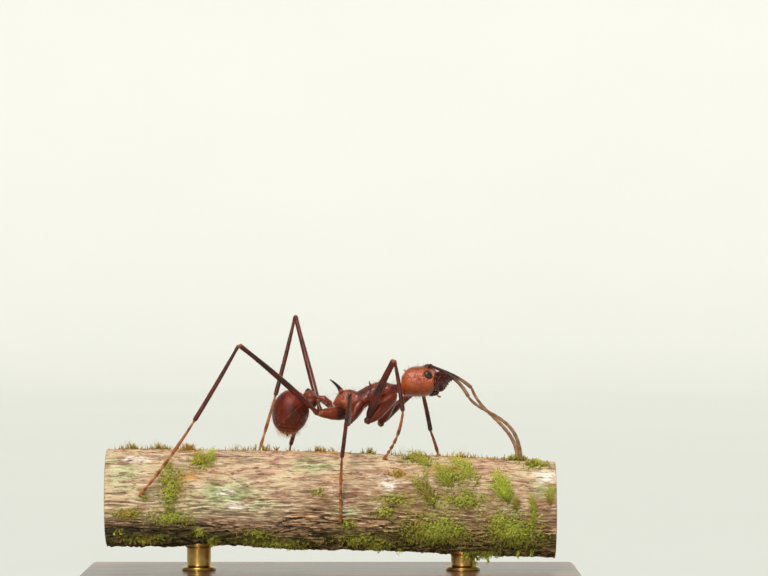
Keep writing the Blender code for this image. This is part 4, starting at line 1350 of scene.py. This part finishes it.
# %% Scapes and whips
WHIP = [(0.002, 0.13)] + [(0.132 + 0.087 * i, min(0.13 + 0.087 * (i + 1), 1.0)) for i in range(10)]
SCAPE = [
    (-0.01, 0.05), (0.0, 0.08), (0.025, 0.09), (0.045, 0.056), (0.06, 0.05), (0.10, 0.072), (0.3, 0.08),
    (0.6, 0.085), (0.9, 0.096), (0.975, 0.096), (0.99, 0.08), (1.0, 0.04),
]
FEELER_UP = (0, 1, 0.3)
for side, sign in SIDES.items():
    near = end_middle(f"scape_{side}", (HEAD_LOW + HEAD_HIGH) / 2, slice(8))
    elbow = limb_end(f"scape_{side}", near)
    socket = Vector((face - 0.36, sign * 0.44, BROW + 0.02))
    line = middle_line(f"scape_{side}", socket, elbow, Vector(), count=24, degree=4, late=1)
    length = line_length(line)
    scape = tube(f"scape_{side}_shell", length, SCAPE, rounds=2)
    share = read_mesh(scape)[0][:, 0] / length
    paint(scape, "base", (0.74 - share) * 6)
    paint(scape, "joint", np.exp(-(((share - 0.05) / 0.02) ** 2)) + np.exp(-(((share - 1.0) / 0.02) ** 2)))
    settle(bend(scape, line, FEELER_UP), FEELER_SHELL, f"scape_{side}", slot="feeler_shell")
    end = limb_end(f"whip_{side}", elbow, 0.27)
    touch, _ = down_to_bark(end, out=0.10)
    line = middle_line(f"whip_{side}", elbow, end, touch - end, count=24, degree=4, late=2)
    length = line_length(line)
    whip = links(f"whip_{side}_shell", length, 0.090, WHIP, flare=1.03, sides=12, waist=0.86)
    places, _ = read_mesh(whip)
    places[:, 1:] *= 0.86 + 0.36 * np.clip(places[:, :1] / length, 0, 1) ** 1.5  # thicker towards the tip
    write_mesh(whip, places)
    settle(bend(whip, line, FEELER_UP), FEELER_SHELL, f"whip_{side}", slot="feeler_shell")

# %% [markdown]
# ## Soft skin in the joints
# Between two hard parts there is soft, folded skin. It shows as a small pale ring at the neck, the hips and
# the knees. Each one is a short tube with folds, slipped between the two shells.

# %% Rings of skin
def skin_ring(start, end, radius, folds=3):
    """A short folded tube from start to end."""
    count = 2 * folds + 1
    waves = [((i + 0.5) / count, 1.0 if i % 2 else 0.86) for i in range(count)]
    profile = scaled([(0.0, 0.6)] + waves + [(1.0, 0.6)], radius)
    return lay(tube("ring", (end - start).length, profile), start, end, up=(0.2, 0.9, 0.3))


rings = []
for leg, (kind, _) in LEGS.items():
    hip, knee, ankle, foot = JOINTS[leg]
    thigh, shin, sole = THICKNESS[kind]
    out, down, on = ((b - a).normalized() for a, b in ((hip, knee), (knee, ankle), (ankle, FEET[leg][2])))
    bent = (down - out).normalized()  # into the crook of the knee
    rings.append(skin_ring(hip - out * 0.05, hip + out * 0.06, thigh * 0.8))
    knee_radius = shin * (0.35 if kind == "mid" else 0.7)
    rings.append(skin_ring(knee + bent * 0.03, knee + bent * 0.16, knee_radius, 2))
    rings.append(skin_ring(ankle - down * 0.03, ankle + on * 0.06, sole * 0.85, 2))
neck_end = Vector((NECK - 0.05, 0, middle_at(NECK - 0.1)))
rings.append(skin_ring(neck_end - Vector((0.22, 0, 0.02)), neck_end + Vector((0.2, 0, 0.03)), 0.19))
settle(join(rings), JOINT_SKIN, slot="joint_skin")
bpy.context.object.name = "joint_rings"


# %% [markdown]
# ## Planting moss and hairs
# Moss shoots and hairs are hundreds of small solid shapes. One of each kind is made by hand, and the rest
# are copies, turned to the surface they grow on and joined into one mesh. Each copy has a patch of its own
# on a UV map named OFBake, at the place of its root on the unrolled surface, so that the finish can be baked.

# %% Join many small copies into one mesh
PATCH = 0.003  # how wide each copy's patch is on the UV map


def stack(shapes):
    """One shape, vertices and triangles, of many."""
    starts = np.cumsum([0] + [len(verts) for verts, _ in shapes])
    faces = [triangles + start for (_, triangles), start in zip(shapes, starts)]
    return np.concatenate([verts for verts, _ in shapes]), np.concatenate(faces)


def plant(name, masters, spots):
    """Each spot is (which master, 4 x 4 place, tone from 0 to 1, place on the unrolled surface)."""
    shapes, tones, tips, uvs = [], [], [], []
    for which, place, tone, root in spots:
        shape, triangles = masters[which]
        shapes.append((shape @ np.array(place.to_3x3()).T + np.array(place.translation), triangles))
        tip = shape[:, 2] / shape[:, 2].max()
        tones.append(np.full(len(shape), tone))
        tips.append(tip)
        spread = (shape[:, :2] - shape[:, :2].min(0)) / np.ptp(shape[:, :2], axis=0).max()
        inside = np.stack([0.5 * spread[:, 0] + 0.5 * tip, 0.5 * spread[:, 1] + 0.5 * (1 - tip)], 1)
        uvs.append(np.array(root) * 0.99 + 0.005 + (inside - 0.5) * PATCH)
    (verts, faces), uvs = stack(shapes), np.concatenate(uvs)
    mesh = bpy.data.meshes.new(name)
    mesh.from_pydata(verts.tolist(), [], faces.tolist())
    piece = add_object(name, mesh)
    paint(piece, "tone", np.concatenate(tones))
    paint(piece, "tip", np.concatenate(tips))
    uvs = uvs[faces.ravel()].astype(np.float32)
    mesh.uv_layers.new(name="OFBake").data.foreach_set("uv", uvs.ravel())
    return piece


def shape_of(piece):
    """The vertices and triangles of a piece."""
    piece.data.calc_loop_triangles()
    return read_mesh(piece)[0], np.array([t.vertices for t in piece.data.loop_triangles])


def master_of(piece):
    """The shape of a hand-made piece, which is then put away."""
    shape = shape_of(piece)
    bpy.data.objects.remove(piece)
    return shape


def stand_on(point, outward, lean, size, spin=0.0):
    """A place whose Z points outward and whose X points along lean."""
    rise = outward.normalized()
    side = rise.cross(lean)
    side = (side if side.length > 1e-6 else rise.orthogonal()).normalized()
    turn = Matrix((side.cross(rise), side, rise)).transposed() @ Matrix.Rotation(spin, 3, "Z")
    return Matrix.Translation(point) @ (turn * size).to_4x4()


# %% [markdown]
# A few kinds of shoot are enough for the eye: a short stem with leaves all round it for the cushions, a thin
# bristle with few leaves, a feathery frond that lies on the bark, and a round-leaved stem for the liverwort
# that hangs below. A leaf is a folded sliver with four corners, so it is a closed shape of four triangles.

# %% Moss shoots
def three_sided(name, low_radius, high_radius, height):
    return begin(name, "cone", vertices=3, radius1=low_radius, radius2=high_radius, depth=height,
                 end_fill_type="NGON")


def leaf(start, way, side, length, width):
    """A folded leaf from start: four corners, root, two shoulders and tip."""
    lift = way.cross(side).normalized() * width * 0.35
    shoulder = start + way * length * 0.42 + lift
    return [start, shoulder - side * width / 2, shoulder + side * width / 2, start + way * length]


def shoot_shape(height, leaves, leaf_length, leaf_width, lean, thick=0.014):
    """A stem along Z with leaves that turn round it."""
    places, triangles = master_of(three_sided("stem", thick, thick * 0.3, height))
    places[:, 2] += height / 2
    verts, faces = [Vector(p) for p in places], triangles.tolist()
    for i in range(leaves):
        share, turn = (i + 0.6) / leaves, 2.4 * i
        away = Vector((math.cos(turn), math.sin(turn), 0.55 + 0.5 * share)).normalized()
        side = Vector((-math.sin(turn), math.cos(turn), 0))
        size = (1.0 - 0.45 * share) * (0.85 + 0.3 * random.random())
        root = Vector((0, 0, height * share))
        base = len(verts)
        verts += leaf(root, away, side, leaf_length * size, leaf_width * size)
        faces += [[base, base + 1, base + 3], [base, base + 3, base + 2], [base, base + 2, base + 1],
                  [base + 1, base + 2, base + 3]]
    verts = np.array(verts)
    verts[:, 0] += lean * (verts[:, 2] / height) ** 2
    return verts, np.array(faces)


def frond_shape(branches=12):
    """A feathery frond, one millimetre long: a stem with two rows of leafy branches."""
    shapes = [shoot_shape(1.0, 12, 0.09, 0.05, 0.18)]
    for i in range(branches):
        share = (i + 1.0) / (branches + 1)
        places, triangles = shoot_shape(0.36 * (1.1 - 0.7 * share), 6, 0.085, 0.045, 0.02, 0.010)
        turn = Matrix.Rotation((1 if i % 2 else -1) * math.radians(50 - 18 * share), 3, "X")
        shapes.append((places @ np.array(turn).T + np.array((0.18 * share**2, 0, share * 0.92)), triangles))
    return stack(shapes)


def liverwort_shape():
    """A short stem of round, cupped leaves in two rows."""
    shapes = [shoot_shape(0.8, 3, 0.1, 0.06, 0.2, 0.02)]
    for i in range(6):
        places, triangles = master_of(begin("round_leaf", "ico_sphere", subdivisions=1, radius=1.0))
        places *= (0.20 - 0.012 * i, 0.15 - 0.01 * i, 0.022)
        places[:, 0] += 0.17
        places[:, 2] += 0.9 * places[:, 0] ** 2 - 1.4 * places[:, 1] ** 2
        turn = Matrix.Rotation(math.pi * (i % 2) + 0.35 * (i - 2), 3, "Z") @ Matrix.Rotation(-0.7, 3, "Y")
        places = places @ np.array(turn).T + np.array((0.2 * (i / 6) ** 2, 0, 0.14 * i + 0.05))
        shapes.append((places, triangles))
    return stack(shapes)


TALL, SHORT, FROND, LIVERWORT, BRISTLE = range(5)
MOSS_SHAPES = [
    shoot_shape(0.26, 10, 0.11, 0.06, 0.06),
    shoot_shape(0.17, 8, 0.13, 0.07, 0.03),
    frond_shape(),
    liverwort_shape(),
    shoot_shape(0.42, 4, 0.10, 0.012, 0.12, 0.006),
]

# %% [markdown]
# The cushions are the patches of moss again: each grows shoots in step with its area, thickest in its
# middle. The fronds lie on the bark in sprays of six, and the liverwort hangs from the underside.

# %% Plant the moss
ROOTED = -0.02  # how far a root stands over the surface: a little under it
SPRAY = 6  # fronds
CROWD = 105  # shoots to a square millimetre where a patch's thickness is 1
spots = []


def grow(kind, x, degrees, point, direction, lean, size, spin, tone):
    """Adds one shoot, with its root's place on the unrolled bark."""
    root = ((x - ENDS[0]) / (ENDS[1] - ENDS[0]), (degrees % 360) / 360)
    spots.append((kind, stand_on(point, direction, lean, size, spin), min(1.0, max(0.0, tone)), root))


for middle, degrees, half_x, half_angle, thick, hue in MOSS:
    area = half_x * math.radians(half_angle) * BARK * math.pi
    for i in range(int(area * CROWD * thick)):
        away = min(1.25, abs(random.gauss(0, 0.55)))
        turn = random.uniform(0, 2 * math.pi)
        x = middle + half_x * away * math.cos(turn)
        angle = degrees + half_angle * away * math.sin(turn)
        if abs(x) > ENDS[1] - 0.25:
            continue
        point, outward = down_to_bark(on_bark(x, angle), out=ROOTED)
        luck = random.random()
        if hue < 0.25 and abs(degrees) < 20:  # the rusty moss of the crest
            kind = BRISTLE if luck < 0.45 else TALL
        else:
            kind = TALL if luck < 0.5 else SHORT if luck < 0.96 else BRISTLE
        wild = Vector((random.gauss(0, 1), random.gauss(0, 1), random.gauss(0, 1) + 0.6))
        rise = (outward * 1.1 + wild * 0.45).normalized()
        if rise.dot(outward) < 0.15:
            rise = (rise + outward * 0.6).normalized()
        size = random.uniform(0.6, 1.15) * (1.2 - 0.5 * away)
        grow(kind, x, angle, point, rise, wild, size, turn, hue + random.uniform(-0.22, 0.28))
FRONDS = [  # root along the twig and angle, tip along the twig and angle, from olive to bright green
    (4.95, 38, 4.0, 8, 0.55), (6.05, 70, 5.15, 38, 0.6), (5.85, 67, 5.9, 34, 0.55),
    (7.25, 69, 6.3, 19, 0.65), (6.95, 58, 6.7, 27, 0.6), (8.85, 83, 7.85, 44, 1.0),
    (8.8, 84, 8.65, 44, 0.95), (8.8, 83, 8.25, 38, 1.0), (5.2, 92, 4.15, 50, 0.35),
    (9.2, 93, 9.05, 72, 0.3), (10.1, 95, 9.9, 71, 0.8), (10.9, 84, 10.7, 60, 0.7),
    (9.85, 110, 10.4, 86, 0.7), (6.95, 84, 6.5, 66, 0.5), (-6.3, 50, -5.7, 22, 0.7),
    (-7.9, 60, -8.2, 36, 0.5),
]
for x, angle, tip_x, tip_angle, hue in FRONDS:
    root, outward = down_to_bark(on_bark(x, angle), out=ROOTED)
    for i in range(SPRAY):
        tip = on_bark(tip_x + random.gauss(0, 0.12), tip_angle + random.gauss(0, 5), out=0.22)
        way = tip - root
        start = root + Vector((random.gauss(0, 0.05), 0, random.gauss(0, 0.05)))
        size = way.length * random.uniform(0.65, 1.0)
        spin = random.gauss(0, 0.5)
        grow(FROND, x, angle, start, way, outward, size, spin, hue + random.uniform(-0.15, 0.1))
HANGING = [  # root along the twig and angle, size
    (7.2, 172, 1.1), (7.7, 160, 0.8), (6.8, 160, 0.9), (3.4, 158, 0.5), (9.4, 150, 0.55), (10.0, 146, 0.5),
    (-10.45, 128, 0.6), (-5.9, 152, 0.4),
]
for x, angle, size in HANGING:
    point, outward = down_to_bark(on_bark(x, angle), out=ROOTED)
    for i in range(2):
        rise = (outward * 0.7 + Vector((random.gauss(0, 0.5), 0, -0.5))).normalized()
        here = size * random.uniform(0.7, 1.0)
        grow(LIVERWORT, x, angle, point, rise, outward, here, random.uniform(0, 3), 0.85)
print("moss has", len(spots), "shoots and", sum(len(MOSS_SHAPES[spot[0]][1]) for spot in spots), "triangles")

finish = Finish("moss", tint(150, 152, 58), 0.62, **{"Subsurface Weight": 0.15, "Subsurface Scale": 0.00008})
tone, tip = finish.painted("tone"), finish.painted("tip")
MOSS_FINISH = finish.done(finish.over(
    finish.mix(tone.fade(0.1, 0.9), tint(112, 112, 28), tint(178, 196, 56)),
    (tip * 0.6, 212, 206, 96),
    (tone.fade(0.22, 0.05) * 0.8, 206, 150, 58),
    (finish.noise(0.8, 2).fade(0.52, 0.66) * 0.4, 186, 150, 62),
    (tip.fade(0.45, 0.0) * 0.75, 58, 54, 18),
))
pieces = {"moss_near_rear": [], "moss_near_front": [], "moss_far": []}  # three, to keep each one light
for spot in spots:
    along, around = spot[3]
    near = "moss_near_rear" if along < 0.62 else "moss_near_front"
    pieces[near if around < 0.5 else "moss_far"].append(spot)
for name, part in pieces.items():
    settle(plant(name, MOSS_SHAPES, part), MOSS_FINISH, slot="moss", angle=30)


# %% [markdown]
# ## Golden hairs
# The whole ant carries stiff golden hairs, which feel every touch. They stand nearly upright on the gaster
# and the back, and lie closer along the legs and feelers. A hair is a bent needle with three sides. It is
# copied to random places on a shell, leans towards the limb's tip, and is short on the face and the feet.

# %% A hair, and how hairs are scattered over a piece
HAIR_RADIUS = 0.055


def hair_shape(bow):
    """A needle along Z, one millimetre long, that bows towards X."""
    needle = three_sided("needle", HAIR_RADIUS, 0.05, 0.25)
    with edit_mode():
        pick("FACE", lambda m: m.z > 0.12)
        for step, thin in ((0.35, 0.72), (0.4, 0.12)):
            extrude(0, 0, step)
            bpy.ops.transform.resize(value=(thin, thin, 1), center_override=(0, 0, 0))
    fix_order(needle)
    places, triangles = master_of(needle)
    places[:, 2] += 0.125
    places[:, 0] += bow * places[:, 2] ** 2
    return places, triangles


HAIR_SHAPES = [hair_shape(bow) for bow in (0.10, 0.22, 0.34)]


def scatter(piece, count, seed):
    """Random points on a piece's surface with the directions out of it, in millimetres."""
    places, triangles = shape_of(piece)
    a, b, c = (places[triangles[:, k]] / MM for k in range(3))
    normal = np.cross(b - a, c - a)
    area = np.linalg.norm(normal, axis=1)
    dice = np.random.RandomState(seed)
    chosen = dice.choice(len(triangles), count, p=area / area.sum())
    s, t = dice.rand(2, count, 1)
    flip = s + t > 1
    s, t = np.where(flip, 1 - s, s), np.where(flip, 1 - t, t)
    points = a[chosen] + s * (b - a)[chosen] + t * (c - a)[chosen]
    return points, normal[chosen] / area[chosen, None], dice


def coat(piece_name, count, length, lean, way, cell, seed, thick=0.0055, keep=lambda p: True):
    """Hairs of about that length on a piece. Way is (start, end) of the direction they lean in, lean says how
    far, from 0 (upright) to 1, and cell is the piece's (column, row, columns, rows) on the unrolled sheet."""
    start, end = (Vector(p) for p in way)
    along = (end - start).normalized()
    side = along.orthogonal().normalized()
    other = along.cross(side)
    points, normals, dice = scatter(bpy.data.objects[piece_name], count, seed)
    column, row, columns, rows = cell
    made = []
    for point, normal in zip(map(Vector, points), map(Vector, normals)):
        luck = dice.rand(5)
        if not keep(point):
            continue
        wild = Vector(dice.randn(3)) * 0.16
        rise = (normal * (1 - lean) + along * lean + wild).normalized()
        if rise.dot(normal) < 0.12:
            rise = (rise + normal * 0.3).normalized()
        size = length * (0.6 + 0.7 * luck[0])
        place = stand_on(point - normal * 0.006, rise, along - normal * 0.4, size)
        slim = thick / (HAIR_RADIUS * size)
        place = place @ Matrix.Diagonal((slim, slim, 1, 1))
        offset = point - start
        share = min(1.0, max(0.0, offset.dot(along) / (end - start).length))
        turn = math.atan2(offset.dot(other), offset.dot(side)) / (2 * math.pi) + 0.5
        root = ((column + 0.02 + 0.96 * share) / columns, (row + 0.02 + 0.96 * turn) / rows)
        made.append((int(luck[1] * 3), place, float(luck[2]), root))
    return made


# %% Grow the coats
finish = Finish("golden_hair", tint(214, 160, 92), 0.35, **{"Specular IOR Level": 0.6})
tone, tip = finish.painted("tone"), finish.painted("tip")
gold = finish.mix(tone, tint(150, 84, 34), tint(214, 158, 88))
HAIR = finish.done(finish.over(gold, (tip.fade(0.25, 0.0) * 0.7, 120, 66, 34)), Roughness=0.3 + 0.2 * tone)

WHOLE = (0, 0, 1, 1)
off_eyes = lambda p: all((p - middle).length > 0.27 for middle, _ in EYES.values())
spots = coat("head_shell", 300, 0.20, 0.35, ((rear, 0, 12.0), (face, 0, 12.0)), WHOLE, 3, keep=off_eyes)
for side in SIDES:
    spots += coat(f"mandible_{side}_blade", 45, 0.16, 0.5, ((5.0, 0, 11.8), (6.1, 0, 12.1)), WHOLE, 5)
settle(plant("head_hairs", HAIR_SHAPES, spots), HAIR, slot="golden_hair")

spots = coat("gaster_shell", 360, 0.20, 0.34, (top, tail), (0, 0, 2, 2), 7, 0.0038)
near_tip = lambda p: (p - tail).length < 0.62
spots += coat("gaster_shell", 1500, 0.26, 0.42, (top, tail), (0, 0, 2, 2), 17, keep=near_tip)
PLATES = [  # how many hairs, how long, how far they lean, from where (X, Z) to where, cell of the sheet
    ("pronotum", 120, 0.30, 0.25, (4, 11.4), (2.0, 11.3), (1, 0)),
    ("mesothorax", 90, 0.28, 0.25, (2.3, 11.2), (1.0, 11), (1, 0)),
    ("propodeum", 80, 0.26, 0.25, (1.2, 11), (0, 11), (0, 1)),
    ("petiole", 40, 0.24, 0.2, (0.2, 10.8), (-0.8, 11), (1, 1)),
    ("postpetiole", 60, 0.26, 0.2, (-0.6, 11.2), (-1.5, 11.2), (1, 1)),
]
for seed, (name, count, length, lean, start, end, cell) in enumerate(PLATES, 8):
    way = [(x, 0, z) for x, z in (start, end)]
    spots += coat(f"{name}_shell", count, length, lean, way, (*cell, 2, 2), seed)
settle(plant("body_hairs", HAIR_SHAPES, spots), HAIR, slot="golden_hair")

spots = []
for row, leg in enumerate(LEGS):
    joints = [Vector(corners(f"coxa_{leg}").mean(0)), *JOINTS[leg]]
    LIMBS = (("coxa", 70, 0.14), ("femur", 170, 0.12), ("tibia", 200, 0.11), ("tarsus", 200, 0.09))
    for column, (part, count, length) in enumerate(LIMBS):
        way, cell = joints[column:column + 2], (column, row, 4, 8)
        spots += coat(f"{part}_{leg}_shell", count, length, 0.66, way, cell, 20 + row * 4 + column, 0.0036)
for row, side in enumerate(SIDES):
    for column, part in enumerate(("scape", "whip")):
        low, high = box_mm(f"{part}_{side}")
        way, cell = ((low.x, low.y, high.z), (high.x, high.y, low.z)), (column, 6 + row, 4, 8)
        spots += coat(f"{part}_{side}_shell", 150, 0.10, 0.55, way, cell, 60 + 2 * row + column, 0.0034)
spots = [(shape, place, tone * 0.45, uv) for shape, place, tone, uv in spots]  # browner than on the body
settle(plant("limb_hairs", HAIR_SHAPES, spots), HAIR, slot="golden_hair")


# %% [markdown]
# ## The display stand
# The solids of the stand have their true shape already, so they stay, and get real finishes: dark polished
# walnut for the base, and lacquered brass for the rods.

# %% Walnut and brass
finish = Finish("stand_walnut", tint(92, 62, 42), 0.36, **{"Coat Weight": 0.35, "Coat Roughness": 0.15})
figure = finish.noise(0.35, 4, (0.12, 1, 1), 0.6, 0.8)
lines = finish.noise(5.0, 4, (0.06, 1, 1.0), 0.6, 0.4)
pores = finish.noise(24.0, 2, (0.05, 1, 1))
wood = finish.mix(figure.fade(0.36, 0.64), tint(72, 46, 31), tint(120, 82, 54))
wood = finish.over(
    wood,
    (lines.fade(0.50, 0.68) * 0.6, 48, 31, 22),
    (pores.fade(0.60, 0.70) * 0.6, 34, 22, 16),
)
finish.bump(lines + pores, 0.02, 0.25)
WALNUT = finish.done(wood, Roughness=0.30 + 0.2 * lines)

finish = Finish("stand_brass", tint(205, 164, 88), 0.22, 1.0, **{"Coat Weight": 0.2})
turned, stain = finish.noise(9.0, 2, (0.2, 0.2, 6)), finish.noise(1.1, 3)
brass = finish.mix(stain.fade(0.5, 0.68) * 0.5, tint(208, 168, 92), tint(160, 116, 58))
finish.bump(turned, 0.01, 0.25)
BRASS = finish.done(brass, Roughness=0.16 + 0.16 * turned + 0.12 * stain)

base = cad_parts["stand_base"]
base.data.materials.clear()
base.data.materials.append(WALNUT)

# %% [markdown]
# The rods' solids have only sixteen flat sides, so each rod is turned anew with a full round, a collar where
# it meets the base, and a small cup under the twig. All of it keeps to the solid's place and height.

# %% Turned rods
BASE_TOP = box_mm("stand_base")[1].z
for node in ("stand_rod_rear", "stand_rod_front"):
    low, high = box_mm(node)
    centre, r = (low + high) / 2, (high.x - low.x) / 2
    under_twig = float(axis_height(centre.x)) - BARK
    steps = [
        (low.z, 1.0), (BASE_TOP - 0.02, 1.0), (BASE_TOP + 0.001, 1.0), (BASE_TOP + 0.002, 1.42),
        (BASE_TOP + 0.14, 1.42), (BASE_TOP + 0.18, 1.36), (BASE_TOP + 0.19, 1.12), (BASE_TOP + 0.26, 1.0),
        (under_twig - 0.10, 1.0), (under_twig - 0.04, 1.14), (under_twig + 0.25, 1.2), (high.z, 0.9),
    ]
    rows = [(z, centre.x - k * r, centre.x + k * r, k * r) for z, k in steps]
    rod = draw_out(f"{node}_turned", rows, sides=48, rounds=0, axis="Z")
    apply_modifier(rod, "BEVEL", width=0.012, segments=2, limit_method="ANGLE", angle_limit=math.radians(35))
    settle(rod, BRASS, node, slot="stand_brass", angle=40)

# %% [markdown]
# ## Floor, light and camera
# The model stands on a pale floor that curves up into a pale wall far behind it. One large soft light shines
# down from the near side, a weaker one fills in from a lower place, and a faint, very wide one comes from
# the far side. The camera looks level along +Y from 200 mm away, so the side of the ant is seen almost
# without perspective, and it stands well above the floor.

# %% Floor and backdrop
floor = begin("floor", "plane", size=1.4)  # metres, as it isn't shrunk
with edit_mode():
    pick("EDGE", lambda m: m.y > 0.6)
    extrude(0, 0, 0.7)
    pick("EDGE", lambda m: m.y > 0.6 and abs(m.z) < 0.01)
    bpy.ops.mesh.bevel(offset=0.25, segments=24, affect="EDGES")
floor.data.shade_smooth()
finish = Finish("paper", (0.66, 0.68, 0.66), 0.9)
paper = finish.mix(finish.noise(0.02, 2), (0.64, 0.67, 0.64), (0.68, 0.70, 0.67))
floor.data.materials.append(finish.done(paper))


# %% Lights
def soft_sun(name, towards, power, softness, colour):
    """A wide, even light that shines along a direction, with shadows as soft as a big diffuser's."""
    lamp = bpy.data.lights.new(name, "SUN")
    lamp.energy, lamp.angle, lamp.color = power, math.radians(softness), colour
    holder = add_object(name, lamp)
    holder.rotation_euler = Vector(towards).to_track_quat("-Z", "Y").to_euler()


soft_sun("sky", (0.16, 0.66, -1.0), 2.3, 12, (1.0, 0.965, 0.89))
soft_sun("fill", (0.22, 0.92, -0.40), 1.1, 13, (1.0, 0.97, 0.91))
soft_sun("rim", (-0.7, -0.5, -0.6), 0.5, 40, (1, 1, 1))
world = bpy.context.scene.world = bpy.data.worlds.new("room")
world.use_nodes = True
room = world.node_tree.nodes["Background"].inputs
room["Color"].default_value, room["Strength"].default_value = (0.92, 0.90, 0.86, 1), 0.32

# %% Camera
VIEW_WIDTH = 38.4  # millimetres across the picture at the ant's distance
DISTANCE = 200.0
optics = bpy.data.cameras.new("camera")
optics.sensor_width = 36.0
optics.lens = optics.sensor_width * DISTANCE / VIEW_WIDTH
optics.clip_start, optics.clip_end = 0.002, 10.0
camera = add_object("camera", optics)
camera.location = Vector((2.65, -DISTANCE, float(axis_height(0)) + 10.6)) * MM
camera.rotation_euler = (math.radians(90), 0, 0)
bpy.context.scene.camera = camera
bpy.context.scene.view_settings.view_transform = "Standard"
